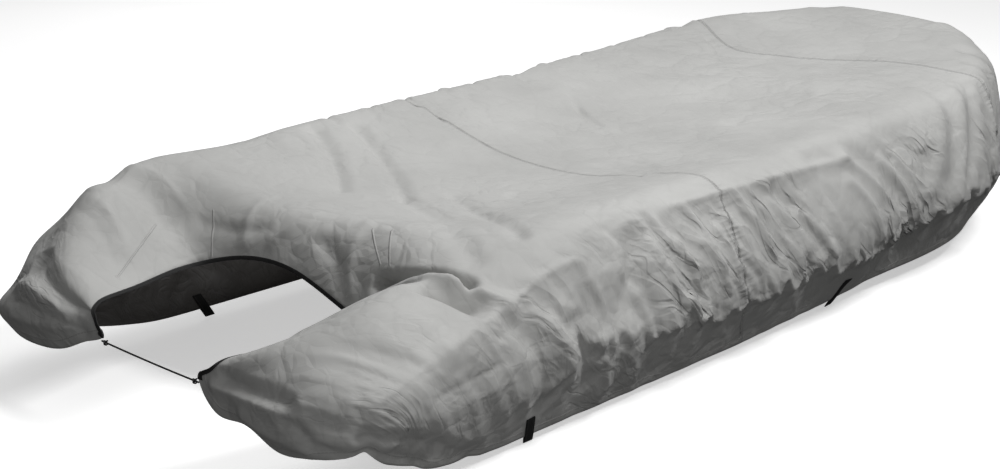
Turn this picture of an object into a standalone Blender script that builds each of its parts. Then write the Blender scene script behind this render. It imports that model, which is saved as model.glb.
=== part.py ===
"""Fitted cloth cover for an inflatable dinghy, standing in the shape of the boat it is made for.

Metres, +X starboard, +Y towards the bow, +Z up. The cover is hollow and open underneath.
At the stern it has a sleeve for the end of each tube, with a cut-out for the motor between them.
The tables count y from the stern; the finished part has its origin under its middle.
"""

import math

import bmesh
import bpy
import numpy as np
from mathutils import Matrix, Vector
from mathutils.bvhtree import BVHTree

PORT, STARBOARD = -1, 1

CLOTH = 0.002              # thickness of the coated polyester, as sewn double at the hems
SEAM_GAP = 0.0003          # parting between two pieces that are sewn together

# Columns of a section, counted outwards from the centreline.
MID, QUARTER, EDGE, CROWN, SHOULDER, WIDEST, TUCK, HEM = range(8)

# Sections of the hull, where both sides are alike: how far forward the hem is drawn, x and z of
# the hem, the tuck under the tube, the widest line, the shoulder and the crown of the tube, then
# the height of the sagging top at EDGE_X, at QUARTER_X and on the centreline.
EDGE_X, QUARTER_X = 0.330, 0.165
HULL = (
    # y   drift  hem x  hem z  tuck x tuck z wide x wide z shld x shld z crwn x crwn z edge z qrtr z mid z
    (0.80, 0.000, 0.672, 0.030, 0.735, 0.165, 0.762, 0.310, 0.685, 0.485, 0.570, 0.552, 0.512, 0.488, 0.482),
    (1.14, 0.040, 0.669, 0.028, 0.735, 0.161, 0.763, 0.307, 0.685, 0.497, 0.570, 0.562, 0.507, 0.477, 0.469),
    (1.50, 0.150, 0.667, 0.030, 0.735, 0.160, 0.765, 0.306, 0.683, 0.500, 0.570, 0.562, 0.508, 0.474, 0.465),
    (1.80, 0.090, 0.665, 0.036, 0.735, 0.167, 0.765, 0.312, 0.683, 0.504, 0.570, 0.562, 0.514, 0.483, 0.475),
    (2.10, 0.030, 0.662, 0.043, 0.732, 0.176, 0.763, 0.320, 0.681, 0.510, 0.568, 0.567, 0.528, 0.502, 0.494),
    (2.40, 0.000, 0.656, 0.054, 0.722, 0.190, 0.752, 0.332, 0.672, 0.520, 0.562, 0.578, 0.548, 0.530, 0.523),
)

# The same for the section over the transom, where each side is pulled its own way.
TRANSOM_MID = (0.590, 0.500)
TRANSOM = {
    # y    drift  hem x  hem z  tuck x tuck z wide x wide z shld x shld z crwn x crwn z edge z qrtr z
    PORT:
        (0.58, 0.00, 0.672, 0.034, 0.736, 0.168, 0.764, 0.320, 0.690, 0.498, 0.575, 0.556, 0.500, 0.495),
    STARBOARD:
        (0.60, 0.00, 0.672, 0.030, 0.736, 0.165, 0.762, 0.300, 0.690, 0.425, 0.575, 0.500, 0.522, 0.515),
}

# Ribs of the two tube sleeves from the end hem forward: distance off the centreline, y and z of
# the hem, the tuck, the widest line, the shoulder, the crown and the edge of the cut-out.
SLEEVE = {
    PORT: (
        ((0.690, 0.040, 0.165), (0.600, 0.000, 0.158), (0.480, -0.010, 0.160),
         (0.370, -0.005, 0.180), (0.280, 0.000, 0.222), (0.200, 0.000, 0.256)),
        ((0.720, 0.075, 0.180), (0.700, 0.010, 0.215), (0.560, -0.020, 0.258),
         (0.430, -0.020, 0.285), (0.315, 0.000, 0.290), (0.232, 0.005, 0.290)),
        ((0.715, 0.150, 0.130), (0.740, 0.130, 0.230), (0.675, 0.072, 0.296),
         (0.550, 0.055, 0.352), (0.410, 0.040, 0.365), (0.270, 0.040, 0.322)),
        ((0.700, 0.240, 0.095), (0.750, 0.220, 0.200), (0.765, 0.190, 0.330),
         (0.655, 0.180, 0.412), (0.520, 0.160, 0.440), (0.305, 0.180, 0.318)),
        ((0.688, 0.340, 0.065), (0.745, 0.330, 0.180), (0.770, 0.320, 0.330),
         (0.690, 0.310, 0.465), (0.570, 0.305, 0.520), (0.332, 0.320, 0.320)),
    ),
    STARBOARD: (
        ((0.680, 0.050, 0.176), (0.600, 0.010, 0.164), (0.470, 0.015, 0.142),
         (0.385, -0.005, 0.190), (0.275, -0.005, 0.186), (0.200, 0.000, 0.256)),
        ((0.715, 0.090, 0.180), (0.680, 0.010, 0.230), (0.560, -0.025, 0.250),
         (0.430, -0.025, 0.265), (0.315, -0.005, 0.272), (0.232, 0.005, 0.290)),
        ((0.710, 0.150, 0.140), (0.755, 0.120, 0.245), (0.700, 0.050, 0.325),
         (0.560, 0.040, 0.365), (0.400, 0.035, 0.362), (0.270, 0.040, 0.322)),
        ((0.700, 0.240, 0.100), (0.750, 0.220, 0.205), (0.768, 0.190, 0.315),
         (0.665, 0.165, 0.400), (0.490, 0.150, 0.430), (0.305, 0.180, 0.316)),
        ((0.688, 0.340, 0.062), (0.745, 0.330, 0.178), (0.770, 0.320, 0.315),
         (0.690, 0.310, 0.425), (0.530, 0.300, 0.478), (0.332, 0.320, 0.310)),
    ),
}

# The section at the front edge of the cut-out, with the quarter point as its last.
NECK_MID = (0.485, 0.372)
NECK = {
    PORT: ((0.678, 0.460, 0.044), (0.740, 0.460, 0.172), (0.766, 0.460, 0.325), (0.692, 0.455, 0.496),
           (0.575, 0.450, 0.540), (0.325, 0.440, 0.325), (0.170, 0.475, 0.368)),
    STARBOARD: ((0.678, 0.470, 0.040), (0.740, 0.470, 0.168), (0.768, 0.470, 0.305), (0.700, 0.465, 0.420),
                (0.535, 0.450, 0.475), (0.325, 0.440, 0.300), (0.170, 0.475, 0.335)),
}

# Bow: seen from above, the widest line is a superellipse, and the ribs stand square to it.
BOW_START, BOW_BEAM, BOW_LENGTH, BOW_POWER = 2.55, 0.765, 1.03, 2.25
# Each rib: degrees off straight ahead, then how far in from the widest line the hem, the tuck,
# the shoulder and the crown lie, and their heights.
BOW_RIBS = (
    # deg  hem in hem z  tuck in tuck z wide z shld in shld z crwn in crwn z
    (83.0, 0.090, 0.066, 0.028, 0.203, 0.342, 0.075, 0.532, 0.185, 0.592),
    (71.0, 0.080, 0.085, 0.015, 0.215, 0.357, 0.065, 0.560, 0.165, 0.612),
    (47.0, 0.050, 0.102, -0.008, 0.212, 0.375, 0.050, 0.590, 0.160, 0.640),
    (30.0, 0.052, 0.124, -0.005, 0.235, 0.390, 0.042, 0.605, 0.135, 0.652),
    (14.0, 0.060, 0.140, 0.006, 0.265, 0.405, 0.040, 0.610, 0.125, 0.655),
    (0.0, 0.060, 0.145, 0.006, 0.270, 0.410, 0.040, 0.610, 0.125, 0.655),
)
# The top between the tubes at the first two bow ribs: y and z at port edge, port quarter,
# centreline, starboard quarter and starboard edge. The second is the bow seam.
BOW_TOPS = (
    ((2.70, 0.574), (2.70, 0.562), (2.70, 0.558), (2.70, 0.568), (2.70, 0.586)),
    ((2.88, 0.578), (2.90, 0.570), (2.94, 0.576), (2.98, 0.592), (3.01, 0.606)),
)

SEAM_ROWS = (9, 14)       # the hull and bow sections on which the cloth widths are joined
FIT_ROUNDS = 12
SMOOTHING = 2


def bow_outline(degrees_off, inward):
    """Plan position on the bow rib that points so far off straight ahead, in from the widest line."""
    turn = math.radians(degrees_off)
    out = (math.sin(turn), math.cos(turn))
    dual = BOW_POWER / (BOW_POWER - 1.0)
    across = BOW_BEAM * out[0]
    along = BOW_LENGTH * out[1]
    reach = (across ** dual + along ** dual) ** (1.0 / dual)
    x = BOW_BEAM * (across / reach) ** (dual / BOW_POWER)
    y = BOW_START + BOW_LENGTH * (along / reach) ** (dual / BOW_POWER)
    return x - out[0] * inward, y - out[1] * inward


def bow_rib(row):
    """Points of one bow rib, hem first and crown last, as (off centre, y, z)."""
    degrees_off, hem_in, hem_z, tuck_in, tuck_z, wide_z, shoulder_in, shoulder_z, crown_in, crown_z = row
    inwards = (hem_in, tuck_in, 0.0, shoulder_in, crown_in)
    heights = (hem_z, tuck_z, wide_z, shoulder_z, crown_z)
    return [(*bow_outline(degrees_off, inward), z) for inward, z in zip(inwards, heights)]


def hull_side(values):
    """Points of one side of a hull section, hem first and quarter last, as (off centre, y, z)."""
    y, drift = values[:2]
    shares = (1.0, 0.5, 0.1, 0.0, 0.0)
    points = [(x, y + drift * share, z) for x, z, share in zip(values[2:12:2], values[3:12:2], shares)]
    return points + [(EDGE_X, y, values[12]), (QUARTER_X, y, values[13])]


def section_points():
    """Every table point by (row, column); columns are negative to port."""
    points = {}

    def place(row, side, ribs, first=HEM):
        for step, (off, y, z) in enumerate(ribs):
            points[row, side * (first - step)] = (side * off, y, z)

    neck_row = len(SLEEVE[PORT])
    for side in (PORT, STARBOARD):
        for row, rib in enumerate(SLEEVE[side]):
            place(row, side, rib)
        place(neck_row, side, NECK[side])
        place(neck_row + 1, side, hull_side(TRANSOM[side]))
        for step, values in enumerate(HULL):
            place(neck_row + 2 + step, side, hull_side(values))
        bow_row = neck_row + 2 + len(HULL)
        for step in range(3):
            place(bow_row + step, side, bow_rib(BOW_RIBS[step]))
        for step, column in ((3, EDGE), (4, QUARTER)):
            rib = bow_rib(BOW_RIBS[step])
            for level, (off, y, z) in enumerate(reversed(rib)):
                points[bow_row + 2 + level, side * column] = (side * off, y, z)
    points[neck_row, MID] = (0.0, *NECK_MID)
    points[neck_row + 1, MID] = (0.0, *TRANSOM_MID)
    for step, values in enumerate(HULL):
        points[neck_row + 2 + step, MID] = (0.0, values[0], values[14])
    for step, tops in enumerate(BOW_TOPS):
        for column, (y, z) in zip(range(-EDGE, EDGE + 1), tops):
            points[bow_row + step, column] = (column * QUARTER_X, y, z)
    for level, (off, y, z) in enumerate(reversed(bow_rib(BOW_RIBS[5]))):
        points[bow_row + 2 + level, MID] = (off, y, z)
    return points, neck_row, bow_row + 2


def cage_faces(points, neck_row, last_row):
    """Four-sided faces between neighbouring section points, with the number of their cloth panel."""
    faces = []
    for row in range(last_row):
        panel = sum(row >= seam for seam in SEAM_ROWS)
        for column in range(-HEM, HEM):
            in_cutout = row < neck_row and -EDGE <= column < EDGE
            if not in_cutout:
                corners = ((row, column), (row, column + 1), (row + 1, column + 1), (row + 1, column))
                faces.append((corners, panel))

    def bow(level, column):
        if abs(column) == CROWN:
            return last_row, int(math.copysign(CROWN + level, column))
        return last_row + level, column

    for level in range(HEM - CROWN):
        for column in range(-CROWN, CROWN):
            corners = [bow(level, column), bow(level, column + 1)]
            corners += [bow(level + 1, column + 1), bow(level + 1, column)]
            faces.append((tuple(corners), len(SEAM_ROWS)))
    return faces


# Main folds: a ridge (+) or trough (-) between two points, bowed sideways by the bend, as wide
# on each side as the width.
FOLDS = (
    # x0    y0     z0     x1     y1     z1     bend   width  height
    # Starboard sleeve: lip over the cut-out, slit behind it, the peak and its facets.
    (0.36, 0.22, 0.38, 0.58, 0.47, 0.48, 0.00, 0.095, 0.018),
    (0.34, 0.52, 0.43, 0.62, 0.55, 0.49, 0.00, 0.080, -0.026),
    (0.60, 0.50, 0.48, 0.70, 0.60, 0.42, 0.00, 0.095, 0.014),
    (0.70, 0.60, 0.42, 0.69, 0.86, 0.48, 0.02, 0.090, 0.010),
    (0.69, 0.55, 0.43, 0.66, 0.22, 0.41, 0.01, 0.080, 0.016),
    (0.74, 0.48, 0.38, 0.72, 0.18, 0.37, 0.00, 0.070, -0.012),
    (0.26, 0.00, 0.27, 0.56, -0.02, 0.29, 0.00, 0.060, 0.010),
    (0.74, 0.10, 0.28, 0.70, 0.42, 0.08, 0.03, 0.075, -0.016),
    # Port sleeve: the hollow band over its top and the folds that run to the corner.
    (-0.61, 0.36, 0.53, -0.46, 0.40, 0.44, 0.02, 0.085, -0.022),
    (-0.56, 0.06, 0.36, -0.27, 0.01, 0.31, -0.02, 0.070, -0.014),
    (-0.60, 0.00, 0.29, -0.25, 0.00, 0.26, 0.01, 0.060, 0.010),
    (-0.38, 0.49, 0.42, -0.15, 0.52, 0.45, -0.01, 0.080, -0.012),
    # Top: two soft valleys running in from the starboard peak, and slack between the seams.
    (-0.16, 0.96, 0.48, 0.32, 0.72, 0.53, 0.03, 0.080, -0.010),
    (0.19, 0.98, 0.48, 0.55, 0.74, 0.54, 0.00, 0.080, -0.012),
    (-0.50, 2.02, 0.55, -0.68, 2.10, 0.48, 0.00, 0.090, -0.010),
    (-0.30, 2.30, 0.54, 0.20, 2.70, 0.56, 0.04, 0.110, 0.006),
    # Starboard side: slack hanging off the shoulder and lobes over the turned-under hem.
    (0.65, 1.14, 0.54, 0.75, 1.22, 0.34, 0.03, 0.090, -0.014),
    (0.70, 1.33, 0.47, 0.76, 1.46, 0.28, 0.02, 0.090, -0.010),
    (0.70, 1.76, 0.48, 0.76, 1.90, 0.30, 0.00, 0.090, -0.010),
    (0.66, 2.00, 0.53, 0.74, 2.27, 0.38, 0.04, 0.090, -0.012),
    (0.75, 0.64, 0.34, 0.73, 0.70, 0.14, 0.01, 0.085, -0.014),
    (0.76, 0.74, 0.30, 0.70, 0.86, 0.08, 0.00, 0.085, 0.010),
    (0.76, 0.86, 0.31, 0.71, 0.98, 0.10, 0.00, 0.090, -0.012),
    (0.76, 1.09, 0.28, 0.70, 1.19, 0.08, 0.01, 0.090, -0.012),
    (0.77, 1.28, 0.26, 0.71, 1.36, 0.09, 0.00, 0.090, 0.010),
    (0.76, 1.50, 0.24, 0.71, 1.60, 0.10, 0.00, 0.090, -0.012),
    (0.76, 1.84, 0.24, 0.70, 1.96, 0.09, 0.01, 0.090, -0.012),
    (0.75, 2.12, 0.24, 0.71, 2.24, 0.12, 0.00, 0.090, 0.008),
    (0.75, 2.42, 0.26, 0.70, 2.50, 0.12, 0.00, 0.090, -0.012),
    # Starboard bow: soft folds down from the seam.
    (0.55, 2.80, 0.60, 0.75, 2.66, 0.34, 0.02, 0.090, -0.014),
    (0.63, 2.93, 0.59, 0.75, 2.76, 0.32, 0.00, 0.090, -0.012),
    (0.43, 3.24, 0.63, 0.56, 3.26, 0.40, 0.00, 0.090, -0.012),
    # Port side.
    (-0.75, 0.70, 0.36, -0.72, 0.78, 0.12, 0.00, 0.090, -0.010),
    (-0.76, 1.20, 0.34, -0.71, 1.30, 0.10, 0.00, 0.090, -0.010),
    (-0.76, 1.72, 0.36, -0.71, 1.80, 0.10, 0.00, 0.090, -0.010),
    (-0.75, 2.26, 0.36, -0.70, 2.36, 0.12, 0.00, 0.090, -0.010),
    (-0.62, 2.96, 0.56, -0.72, 2.86, 0.24, 0.00, 0.090, -0.012),
    (-0.30, 3.46, 0.60, -0.36, 3.50, 0.26, 0.00, 0.100, -0.012),
)
FOLD_REACH = 0.10          # how far off its chord a fold still shapes the cloth, along the normal

BINDING_WIDTH = 0.013
BINDING_WALL = 0.0008
TAB_TIP, TAB_WALL = 0.006, 0.0012
TAB_PAIRS = 3              # steps along the cut-out edge that the end tab covers
CLEARANCE = 0.0004         # parting between the cloth and a piece that is sewn on it
CORD_RADIUS = 0.0025
CORD_SAG = 0.002

# Tie-down loops on one side: name, distance along the hull where the loop is sewn, how far aft its
# free end leans, and the width of the webbing.
LOOPS = (
    ("aft", 0.678, -0.040, 0.036),
    ("fore", 2.175, 0.040, 0.034),
)
LOOP_WALL = 0.0014
LOOP_CLEARANCE = 0.0008
LOOP_FOOT = 0.006          # lowest place on the cloth that the webbing is measured off
LOOP_OUTER, LOOP_INNER, LOOP_DROP = 0.076, 0.045, 0.028

FINISHES = {
    # base colour, roughness
    "coated_polyester": ((0.42, 0.42, 0.41, 1.0), 0.62),
    "black_tape": ((0.012, 0.012, 0.012, 1.0), 0.70),
    "black_cord": ((0.010, 0.010, 0.010, 1.0), 0.60),
    "black_webbing": ((0.014, 0.014, 0.014, 1.0), 0.72),
}


def clear_scene():
    for held in list(bpy.data.objects):
        bpy.data.objects.remove(held, do_unlink=True)


def finish(name):
    """Principled material of one finish, made once."""
    if name in bpy.data.materials:
        return bpy.data.materials[name]
    colour, roughness = FINISHES[name]
    material = bpy.data.materials.new(name)
    material.use_nodes = True
    shader = material.node_tree.nodes["Principled BSDF"]
    shader.inputs["Base Color"].default_value = colour
    shader.inputs["Roughness"].default_value = roughness
    return material


def add_object(name, vertices, faces, material):
    """Object with one closed mesh, faces turned outward."""
    mesh = bpy.data.meshes.new(name)
    mesh.from_pydata([tuple(map(float, vertex)) for vertex in vertices], [], faces)
    work = bmesh.new()
    work.from_mesh(mesh)
    bmesh.ops.recalc_face_normals(work, faces=work.faces)
    work.to_mesh(mesh)
    work.free()
    mesh.materials.append(finish(material))
    mesh.shade_smooth()
    made = bpy.data.objects.new(name, mesh)
    bpy.context.scene.collection.objects.link(made)
    return made


def smooth_surface(points, faces):
    """Finely divided surface through every table point, as vertices, quads and panel numbers."""
    keys = sorted(points)
    place = {key: number for number, key in enumerate(keys)}
    target = np.array([points[key] for key in keys])
    mesh = bpy.data.meshes.new("cage")
    mesh.from_pydata(target.tolist(), [], [[place[key] for key in face] for face, _ in faces])
    mesh.polygons.foreach_set("material_index", [panel for _, panel in faces])
    cage = bpy.data.objects.new("cage", mesh)
    bpy.context.scene.collection.objects.link(cage)
    smooth = cage.modifiers.new("smooth", "SUBSURF")
    smooth.levels = smooth.render_levels = 1

    # The limit surface shrinks inside its cage, so the cage is grown until the surface fits.
    control = target.copy()
    for _ in range(FIT_ROUNDS):
        control += target - evaluated(cage)[0][:len(target)]
        mesh.vertices.foreach_set("co", control.ravel())
        mesh.update()
    smooth.levels = smooth.render_levels = SMOOTHING
    surface = evaluated(cage)
    bpy.data.objects.remove(cage, do_unlink=True)
    return surface


def evaluated(made):
    """Vertices, quads and panel numbers of an object with its modifiers."""
    shown = made.evaluated_get(bpy.context.evaluated_depsgraph_get())
    mesh = shown.to_mesh()
    vertices = np.array([vertex.co[:] for vertex in mesh.vertices], dtype=float)
    quads = np.array([polygon.vertices[:] for polygon in mesh.polygons])
    panels = np.array([polygon.material_index for polygon in mesh.polygons])
    shown.to_mesh_clear()
    return vertices, quads, panels


def vertex_normals(vertices, quads):
    """Outward unit normals, averaged over the quads at each vertex."""
    first = vertices[quads[:, 2]] - vertices[quads[:, 0]]
    second = vertices[quads[:, 3]] - vertices[quads[:, 1]]
    faces = np.cross(first, second)
    normals = np.zeros_like(vertices)
    for corner in range(4):
        np.add.at(normals, quads[:, corner], faces)
    return normals / np.linalg.norm(normals, axis=1)[:, None]


def fold_cloth(vertices, quads):
    """The surface with every row of FOLDS raised or pressed into it."""
    normals = vertex_normals(vertices, quads)
    lift = np.zeros(len(vertices))
    for x0, y0, z0, x1, y1, z1, bend, width, height in FOLDS:
        start = np.array((x0, y0, z0))
        chord = np.array((x1, y1, z1)) - start
        length = np.linalg.norm(chord)
        chord /= length
        offset = vertices - start
        along = np.clip(offset @ chord / length, 0.0, 1.0)
        aside = np.cross(normals, chord)
        bow = 4.0 * bend * along * (1.0 - along)
        away = offset - along[:, None] * chord * length - bow[:, None] * aside
        depth = (away * normals).sum(axis=1)
        spread = np.linalg.norm(away - depth[:, None] * normals, axis=1) / width
        profile = np.clip(1.0 - spread ** 2, 0.0, 1.0) ** 2
        lift += height * profile * (np.abs(depth) < FOLD_REACH)
    return vertices + lift[:, None] * normals


def boundary_loop(quads):
    """Edge of an open surface as vertex numbers in order."""
    edges = set()
    for quad in quads:
        corners = [int(corner) for corner in quad]
        edges.update(zip(corners, corners[1:] + corners[:1]))
    onward = {start: end for start, end in edges if (end, start) not in edges}
    loop = [min(onward)]
    while onward[loop[-1]] != loop[0]:
        loop.append(onward[loop[-1]])
    return loop


def cutout_arc(points, vertices, quads):
    """Vertex numbers along the cut-out, from the port corner to the starboard corner."""
    loop = boundary_loop(quads)
    spots = vertices[loop]
    nearest = {name: int(np.argmin(np.linalg.norm(spots - points[key], axis=1)))
               for name, key in (("port", (0, -EDGE)), ("starboard", (0, EDGE)))}
    loop = loop[nearest["port"]:] + loop[:nearest["port"]]
    end = (nearest["starboard"] - nearest["port"]) % len(loop)
    ways = (loop[:end + 1], [loop[0]] + loop[end:][::-1])
    return min(ways, key=lambda way: np.abs(vertices[way][:, 0]).max())


def strip_beside(vertices, normals, faces, arc):
    """Cuts a narrow strip along the arc; gives the pairs of edge and inner vertex that bound it."""
    vertices, normals = list(vertices), list(normals)
    on_arc = {vertex: step for step, vertex in enumerate(arc)}
    inner, beside = {}, {}

    def inner_of(edge_vertex, beyond):
        if (edge_vertex, beyond) not in inner:
            reach = vertices[beyond] - vertices[edge_vertex]
            share = BINDING_WIDTH / np.linalg.norm(reach)
            inner[edge_vertex, beyond] = len(vertices)
            vertices.append(vertices[edge_vertex] + reach * share)
            normal = normals[edge_vertex] * (1.0 - share) + normals[beyond] * share
            normals.append(normal / np.linalg.norm(normal))
        return inner[edge_vertex, beyond]

    divided = []
    for face, panel in faces:
        touching = [corner for corner in range(4) if face[corner] in on_arc]
        if not touching:
            divided.append((face, panel))
            continue
        start = touching[-1] if touching == [0, 3] else touching[0]
        a, b, c, d = face[start:] + face[:start]
        if len(touching) == 1:
            ahead, behind = inner_of(a, b), inner_of(a, d)
            divided += [((a, ahead, behind), panel), ((ahead, b, c, d, behind), panel)]
        else:
            near, far = inner_of(a, d), inner_of(b, c)
            if on_arc[a] < on_arc[b]:
                halves = ((a, b, far), (a, far, near))
                beside[on_arc[a]] = ((a, near), (b, far))
            else:
                halves = ((a, b, near), (b, far, near))
                beside[on_arc[b]] = ((b, far), (a, near))
            divided += [(half, panel) for half in halves] + [((near, far, c, d), panel)]
    pairs = list(dict.fromkeys(pair for step in sorted(beside) for pair in beside[step]))
    return np.array(vertices), np.array(normals), divided, pairs


def open_edges(faces):
    """Directed edges used by only one face."""
    edges = set()
    for face in faces:
        edges.update(zip(face, face[1:] + face[:1]))
    return [(start, end) for start, end in edges if (end, start) not in edges]


def halved(vertices, face):
    """Triangles of a face; one with four corners is cut along its shorter diagonal."""
    if len(face) == 4:
        spots = vertices[list(face)]
        if np.linalg.norm(spots[0] - spots[2]) > np.linalg.norm(spots[1] - spots[3]):
            face = face[1:] + face[:1]
    return [(face[0], face[step], face[step + 1]) for step in range(1, len(face) - 1)]


def drawn_apart(vertices, normals, faces, whole_rim):
    """The panel's vertices with its seam drawn back a little from the neighbouring panel."""
    moved = vertices.copy()
    seam = [edge for edge in open_edges(faces) if edge not in whole_rim]
    along = {}
    for start, end in seam:
        for vertex in (start, end):
            along[vertex] = along.get(vertex, 0.0) + vertices[end] - vertices[start]
    for vertex, run in along.items():
        centres = [vertices[list(face)].mean(axis=0) for face in faces if vertex in face]
        into = np.mean(centres, axis=0) - vertices[vertex]
        for other in (run / np.linalg.norm(run), normals[vertex]):
            into = into - other * (into @ other)
        moved[vertex] = vertices[vertex] + into / np.linalg.norm(into) * SEAM_GAP * 0.6
    return moved


def add_cloth(name, vertices, normals, faces, whole_rim):
    """One panel as a closed sheet: outer skin, inner skin and the cut edges between them."""
    placed = drawn_apart(vertices, normals, faces, whole_rim)
    used = sorted({vertex for face in faces for vertex in face})
    number = {vertex: step for step, vertex in enumerate(used)}
    outer = placed[used]
    skins = np.vstack([outer, outer - normals[used] * CLOTH])
    count = len(used)
    # Both skins are cut into the same triangles, so that they stay parallel where a face is bent.
    halves = [[number[vertex] for vertex in half] for face in faces for half in halved(vertices, face)]
    solid = halves + [[vertex + count for vertex in reversed(half)] for half in halves]
    for start, end in open_edges(faces):
        near, far = number[start], number[end]
        solid.append([far, near, near + count, far + count])
    return add_object(name, skins, solid, "coated_polyester")


def folded_section(edge, inner, edge_normal, inner_normal, outward, gap, wall):
    """Eight points round the cloth edge: a tape folded over it, as far off as the gap."""
    under = CLOTH + gap
    return [
        inner + inner_normal * gap,
        inner + inner_normal * (gap + wall),
        edge + edge_normal * (gap + wall) + outward * (gap + wall),
        edge - edge_normal * (under + wall) + outward * (gap + wall),
        inner - inner_normal * (under + wall),
        inner - inner_normal * under,
        edge - edge_normal * under + outward * gap,
        edge + edge_normal * gap + outward * gap,
    ]


# In a folded section points 2, 3, 6 and 7 lie at the edge of the cloth, the rest further in.
AT_EDGE = (False, False, True, True, False, False, True, True)
FOLDED_CAP = ((0, 1, 2, 7), (7, 2, 3, 6), (6, 3, 4, 5))


def between_sections(near, far, in_order=True):
    """Faces from one folded section to the next, halved the same way as the cloth between them."""
    faces = []
    for step in range(8):
        after = (step + 1) % 8
        corners = (near[step], near[after], far[after], far[step])
        if AT_EDGE[step] == AT_EDGE[after]:
            split = (corners,)
        elif AT_EDGE[step] == in_order:
            split = (corners[:3], (corners[0], corners[2], corners[3]))
        else:
            split = ((corners[0], corners[1], corners[3]), corners[1:])
        for face in split:
            face = list(dict.fromkeys(face))
            if len(face) > 2:
                faces.append(face)
    return faces


def outward_at(vertices, pairs):
    """Direction out of the cloth at each pair, mitred where two pairs share an edge vertex."""
    outward = {}
    for edge, inner in pairs:
        away = vertices[edge] - vertices[inner]
        outward[edge] = outward.get(edge, 0.0) + away / np.linalg.norm(away)
    return outward


def add_binding(vertices, normals, pairs):
    """Tape folded over the cut-out edge."""
    outward = outward_at(vertices, pairs)
    spots, ring = {}, []
    for edge, inner in pairs:
        section = folded_section(vertices[edge], vertices[inner], normals[edge], normals[inner],
                                 outward[edge], CLEARANCE, BINDING_WALL)
        owners = (inner, inner, edge, edge, inner, inner, edge, edge)
        numbers = []
        for step, (owner, spot) in enumerate(zip(owners, section)):
            key = (owner, step)
            if key not in spots:
                spots[key] = (len(spots), spot)
            numbers.append(spots[key][0])
        ring.append(numbers)
    faces = []
    for near, far in zip(ring, ring[1:]):
        faces += between_sections(near, far)
    faces += [[ring[0][step] for step in cap] for cap in FOLDED_CAP]
    faces += [[ring[-1][step] for step in reversed(cap)] for cap in FOLDED_CAP]
    ordered = [spot for _, spot in sorted(spots.values(), key=lambda item: item[0])]
    return add_object("cutout_binding", ordered, faces, "black_tape")


def add_tab(name, vertices, normals, pairs, in_order):
    """Thick tape folded over the end of the binding, closed beyond the corner to hold the cord."""
    gap = CLEARANCE * 2.0 + BINDING_WALL
    outward = outward_at(vertices, pairs)

    def section(pair, shift):
        edge, inner = pair
        return folded_section(vertices[edge] + shift, vertices[inner] + shift,
                              normals[edge], normals[inner], outward[edge], gap, TAB_WALL)

    run = vertices[pairs[0][0]] - vertices[pairs[1][0]]
    run /= np.linalg.norm(run)
    tip = section(pairs[0], run * TAB_TIP)[1:5]
    slots = [section(pairs[0], run * CLEARANCE)] + [section(pair, 0.0 * run) for pair in pairs[1:]]
    spots = tip + [spot for slot in slots for spot in slot]
    faces = [(0, 1, 2, 3), (0, 5, 6, 1), (1, 6, 7, 2), (2, 7, 8, 3), (3, 8, 9, 4, 5, 0), (4, 9, 10, 11)]
    last = 4 + 8 * (len(slots) - 1)
    for base in range(4, last, 8):
        faces += between_sections(range(base, base + 8), range(base + 8, base + 16), in_order)
    faces += [tuple(last + step for step in cap) for cap in FOLDED_CAP]
    made = add_object(name, spots, [list(face) for face in faces], "black_tape")
    tip_middle = (tip[1] + tip[2]) / 2.0 * 0.6 + np.mean(tip, axis=0) * 0.4
    return made, tip_middle + run * (CORD_RADIUS + CLEARANCE)


def add_cord(start, end):
    """Elastic cord, drawn taut across the cut-out."""
    curve = bpy.data.curves.new("stern_cord", "CURVE")
    curve.dimensions = "3D"
    curve.bevel_depth = CORD_RADIUS
    curve.bevel_resolution = 2
    curve.use_fill_caps = True
    line = curve.splines.new("POLY")
    steps = round(np.linalg.norm(end - start) / (5.0 * CORD_RADIUS))
    spots = []
    for step in range(steps + 1):
        share = step / steps
        sag = np.array((0.0, 0.0, 4.0 * CORD_SAG * share * (1.0 - share)))
        spots.append(start + (end - start) * share - sag)
    line.points.add(len(spots) - 1)
    for point, spot in zip(line.points, spots):
        point.co = (*spot, 1.0)
    curve.materials.append(finish("black_cord"))
    made = bpy.data.objects.new("stern_cord", curve)
    bpy.context.scene.collection.objects.link(made)
    return made


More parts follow.
